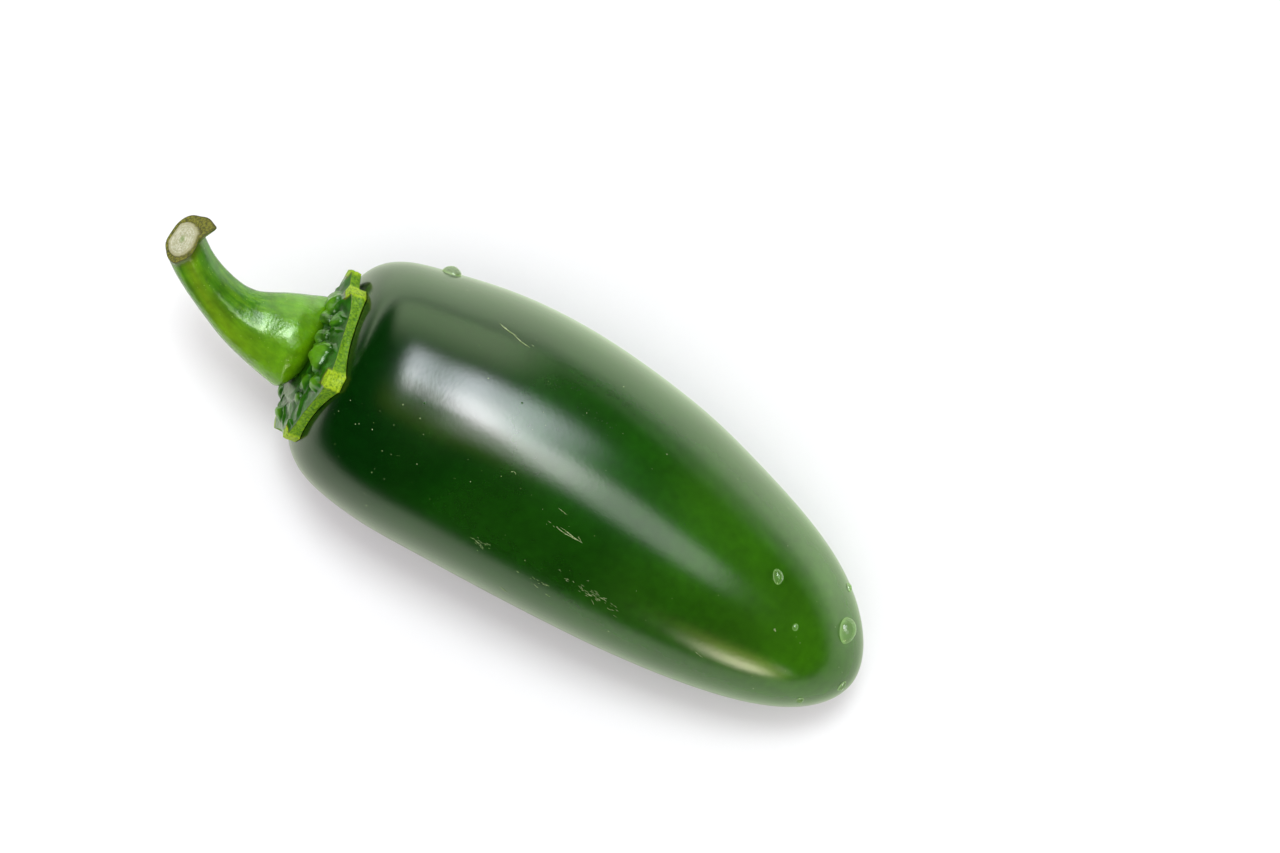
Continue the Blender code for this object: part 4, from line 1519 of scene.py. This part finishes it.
class StudioSettings(bpy.types.PropertyGroup):
    """Lights, floor and camera."""

    floor_width: length_of("Floor width", 4.0, "Width of the floor")
    floor_colour: colour_of("Floor", (0.88, 0.88, 0.88), "Colour of the floor")
    # Painted light: how strongly the floor glows on its sunny side in the gloss.
    floor_glow: number_of("Floor glow", 1.2, "Extra brightness of the floor's sunny side in the gloss")
    light: number_of("Light", 21.0, "Brightness of the lamp that lights the floor and the skin")
    overhead: number_of("Overhead", 0.7, "Brightness of the wide lamp overhead")
    window: number_of("Window", 9.5, "Brightness of the window in the gloss")
    core: number_of("Window core", 14.0, "Extra brightness in the middle of the window")
    olive: number_of("Olive card", 0.45, "Brightness of the olive card overhead in the gloss")
    ceiling: number_of("Ceiling", 3.4, "Brightness of the ceiling in the gloss")
    card: number_of("Card", 2.5, "Brightness of the side card in the gloss")
    low: number_of("Low lamp", 10.0, "Brightness of the low warm lamp in the gloss")
    fill: number_of("Fill", 0.84, "Soft light from all round")
    dark_room: number_of("Dark room", 0.003, "Brightness of the room in the gloss")
    backdrop: number_of("Backdrop", 0.93, "Brightness of the room behind the stage")
    camera_lens: number_of("Camera lens", 100.0, "Focal length in millimetres on a 36 mm wide sensor")
    camera_along: length_of("Camera along", 0.0101, "Where the camera is along the pod")
    camera_across: length_of("Camera across", 0.0108, "Where the camera is across the pod")
    camera_height: length_of("Camera height", 0.4508, "How high the camera is")
    camera_turn: number_of("Camera turn", CAMERA_TURN, "How far the camera is turned", subtype="ANGLE")


class CHILLI_OT_pod(bpy.types.Operator):
    """Grow the glossy pod"""

    bl_idname = "chilli.pod"
    bl_label = "Pod"

    def execute(self, context):
        settings = context.scene.chilli_pod
        finish_piece(grow_pod(settings), waxy_skin(settings), node="pod")
        return {"FINISHED"}


class CHILLI_OT_calyx(bpy.types.Operator):
    """Drape the trimmed calyx over the pod's shoulder"""

    bl_idname = "chilli.calyx"
    bl_label = "Calyx"

    def execute(self, context):
        settings = context.scene.chilli_calyx
        finish_piece(grow_calyx(settings), calyx_skin(settings), node="calyx")
        return {"FINISHED"}


class CHILLI_OT_stem(bpy.types.Operator):
    """Grow the ribbed stem with its cut end"""

    bl_idname = "chilli.stem"
    bl_label = "Stem"

    def execute(self, context):
        settings = context.scene.chilli_stem
        finish_piece(grow_stem(settings), stem_skin(settings), node="stem")
        return {"FINISHED"}


class CHILLI_OT_marks(bpy.types.Operator):
    """Add the corky scratches, pale specks and healed grazes"""

    bl_idname = "chilli.marks"
    bl_label = "Skin marks"

    def execute(self, context):
        settings = context.scene.chilli_marks
        grow_scratches(settings)
        grow_specks(settings)
        grow_grazes(settings)
        return {"FINISHED"}


class CHILLI_OT_drops(bpy.types.Operator):
    """Set water drops on the skin"""

    bl_idname = "chilli.drops"
    bl_label = "Water drops"

    def execute(self, context):
        add_drops(context.scene.chilli_drops)
        return {"FINISHED"}


class CHILLI_OT_studio(bpy.types.Operator):
    """Build the floor, lights, world and camera"""

    bl_idname = "chilli.studio"
    bl_label = "Studio"

    def execute(self, context):
        build_studio(context.scene.chilli_studio)
        return {"FINISHED"}


class CHILLI_PT_panel(bpy.types.Panel):
    """Lists the chilli's pieces and their sizes and colours"""

    bl_idname = "CHILLI_PT_panel"
    bl_label = "Green chilli pepper"
    bl_space_type = "VIEW_3D"
    bl_region_type = "UI"
    bl_category = "Chilli"

    def draw(self, context):
        for operator, group in STEPS:
            box = self.layout.box()
            box.operator(operator.bl_idname)
            settings = getattr(context.scene, group)
            for name in settings.__annotations__:
                box.prop(settings, name)


GROUPS = {
    "chilli_pod": PodSettings,
    "chilli_calyx": CalyxSettings,
    "chilli_stem": StemSettings,
    "chilli_marks": MarkSettings,
    "chilli_drops": DropSettings,
    "chilli_studio": StudioSettings,
}
STEPS = (
    (CHILLI_OT_pod, "chilli_pod"),
    (CHILLI_OT_calyx, "chilli_calyx"),
    (CHILLI_OT_stem, "chilli_stem"),
    (CHILLI_OT_marks, "chilli_marks"),
    (CHILLI_OT_drops, "chilli_drops"),
    (CHILLI_OT_studio, "chilli_studio"),
)


def register():
    for name, group in GROUPS.items():
        bpy.utils.register_class(group)
        setattr(bpy.types.Scene, name, bpy.props.PointerProperty(type=group))
    for operator, _ in STEPS:
        bpy.utils.register_class(operator)
    bpy.utils.register_class(CHILLI_PT_panel)


def unregister():
    bpy.utils.unregister_class(CHILLI_PT_panel)
    for operator, _ in reversed(STEPS):
        bpy.utils.unregister_class(operator)
    for name, group in reversed(GROUPS.items()):
        delattr(bpy.types.Scene, name)
        bpy.utils.unregister_class(group)


def main():
    register()
    bpy.ops.chilli.pod()
    bpy.ops.chilli.calyx()
    bpy.ops.chilli.stem()
    bpy.ops.chilli.marks()
    bpy.ops.chilli.drops()
    bpy.ops.chilli.studio()


if __name__ == "__main__":
    main()
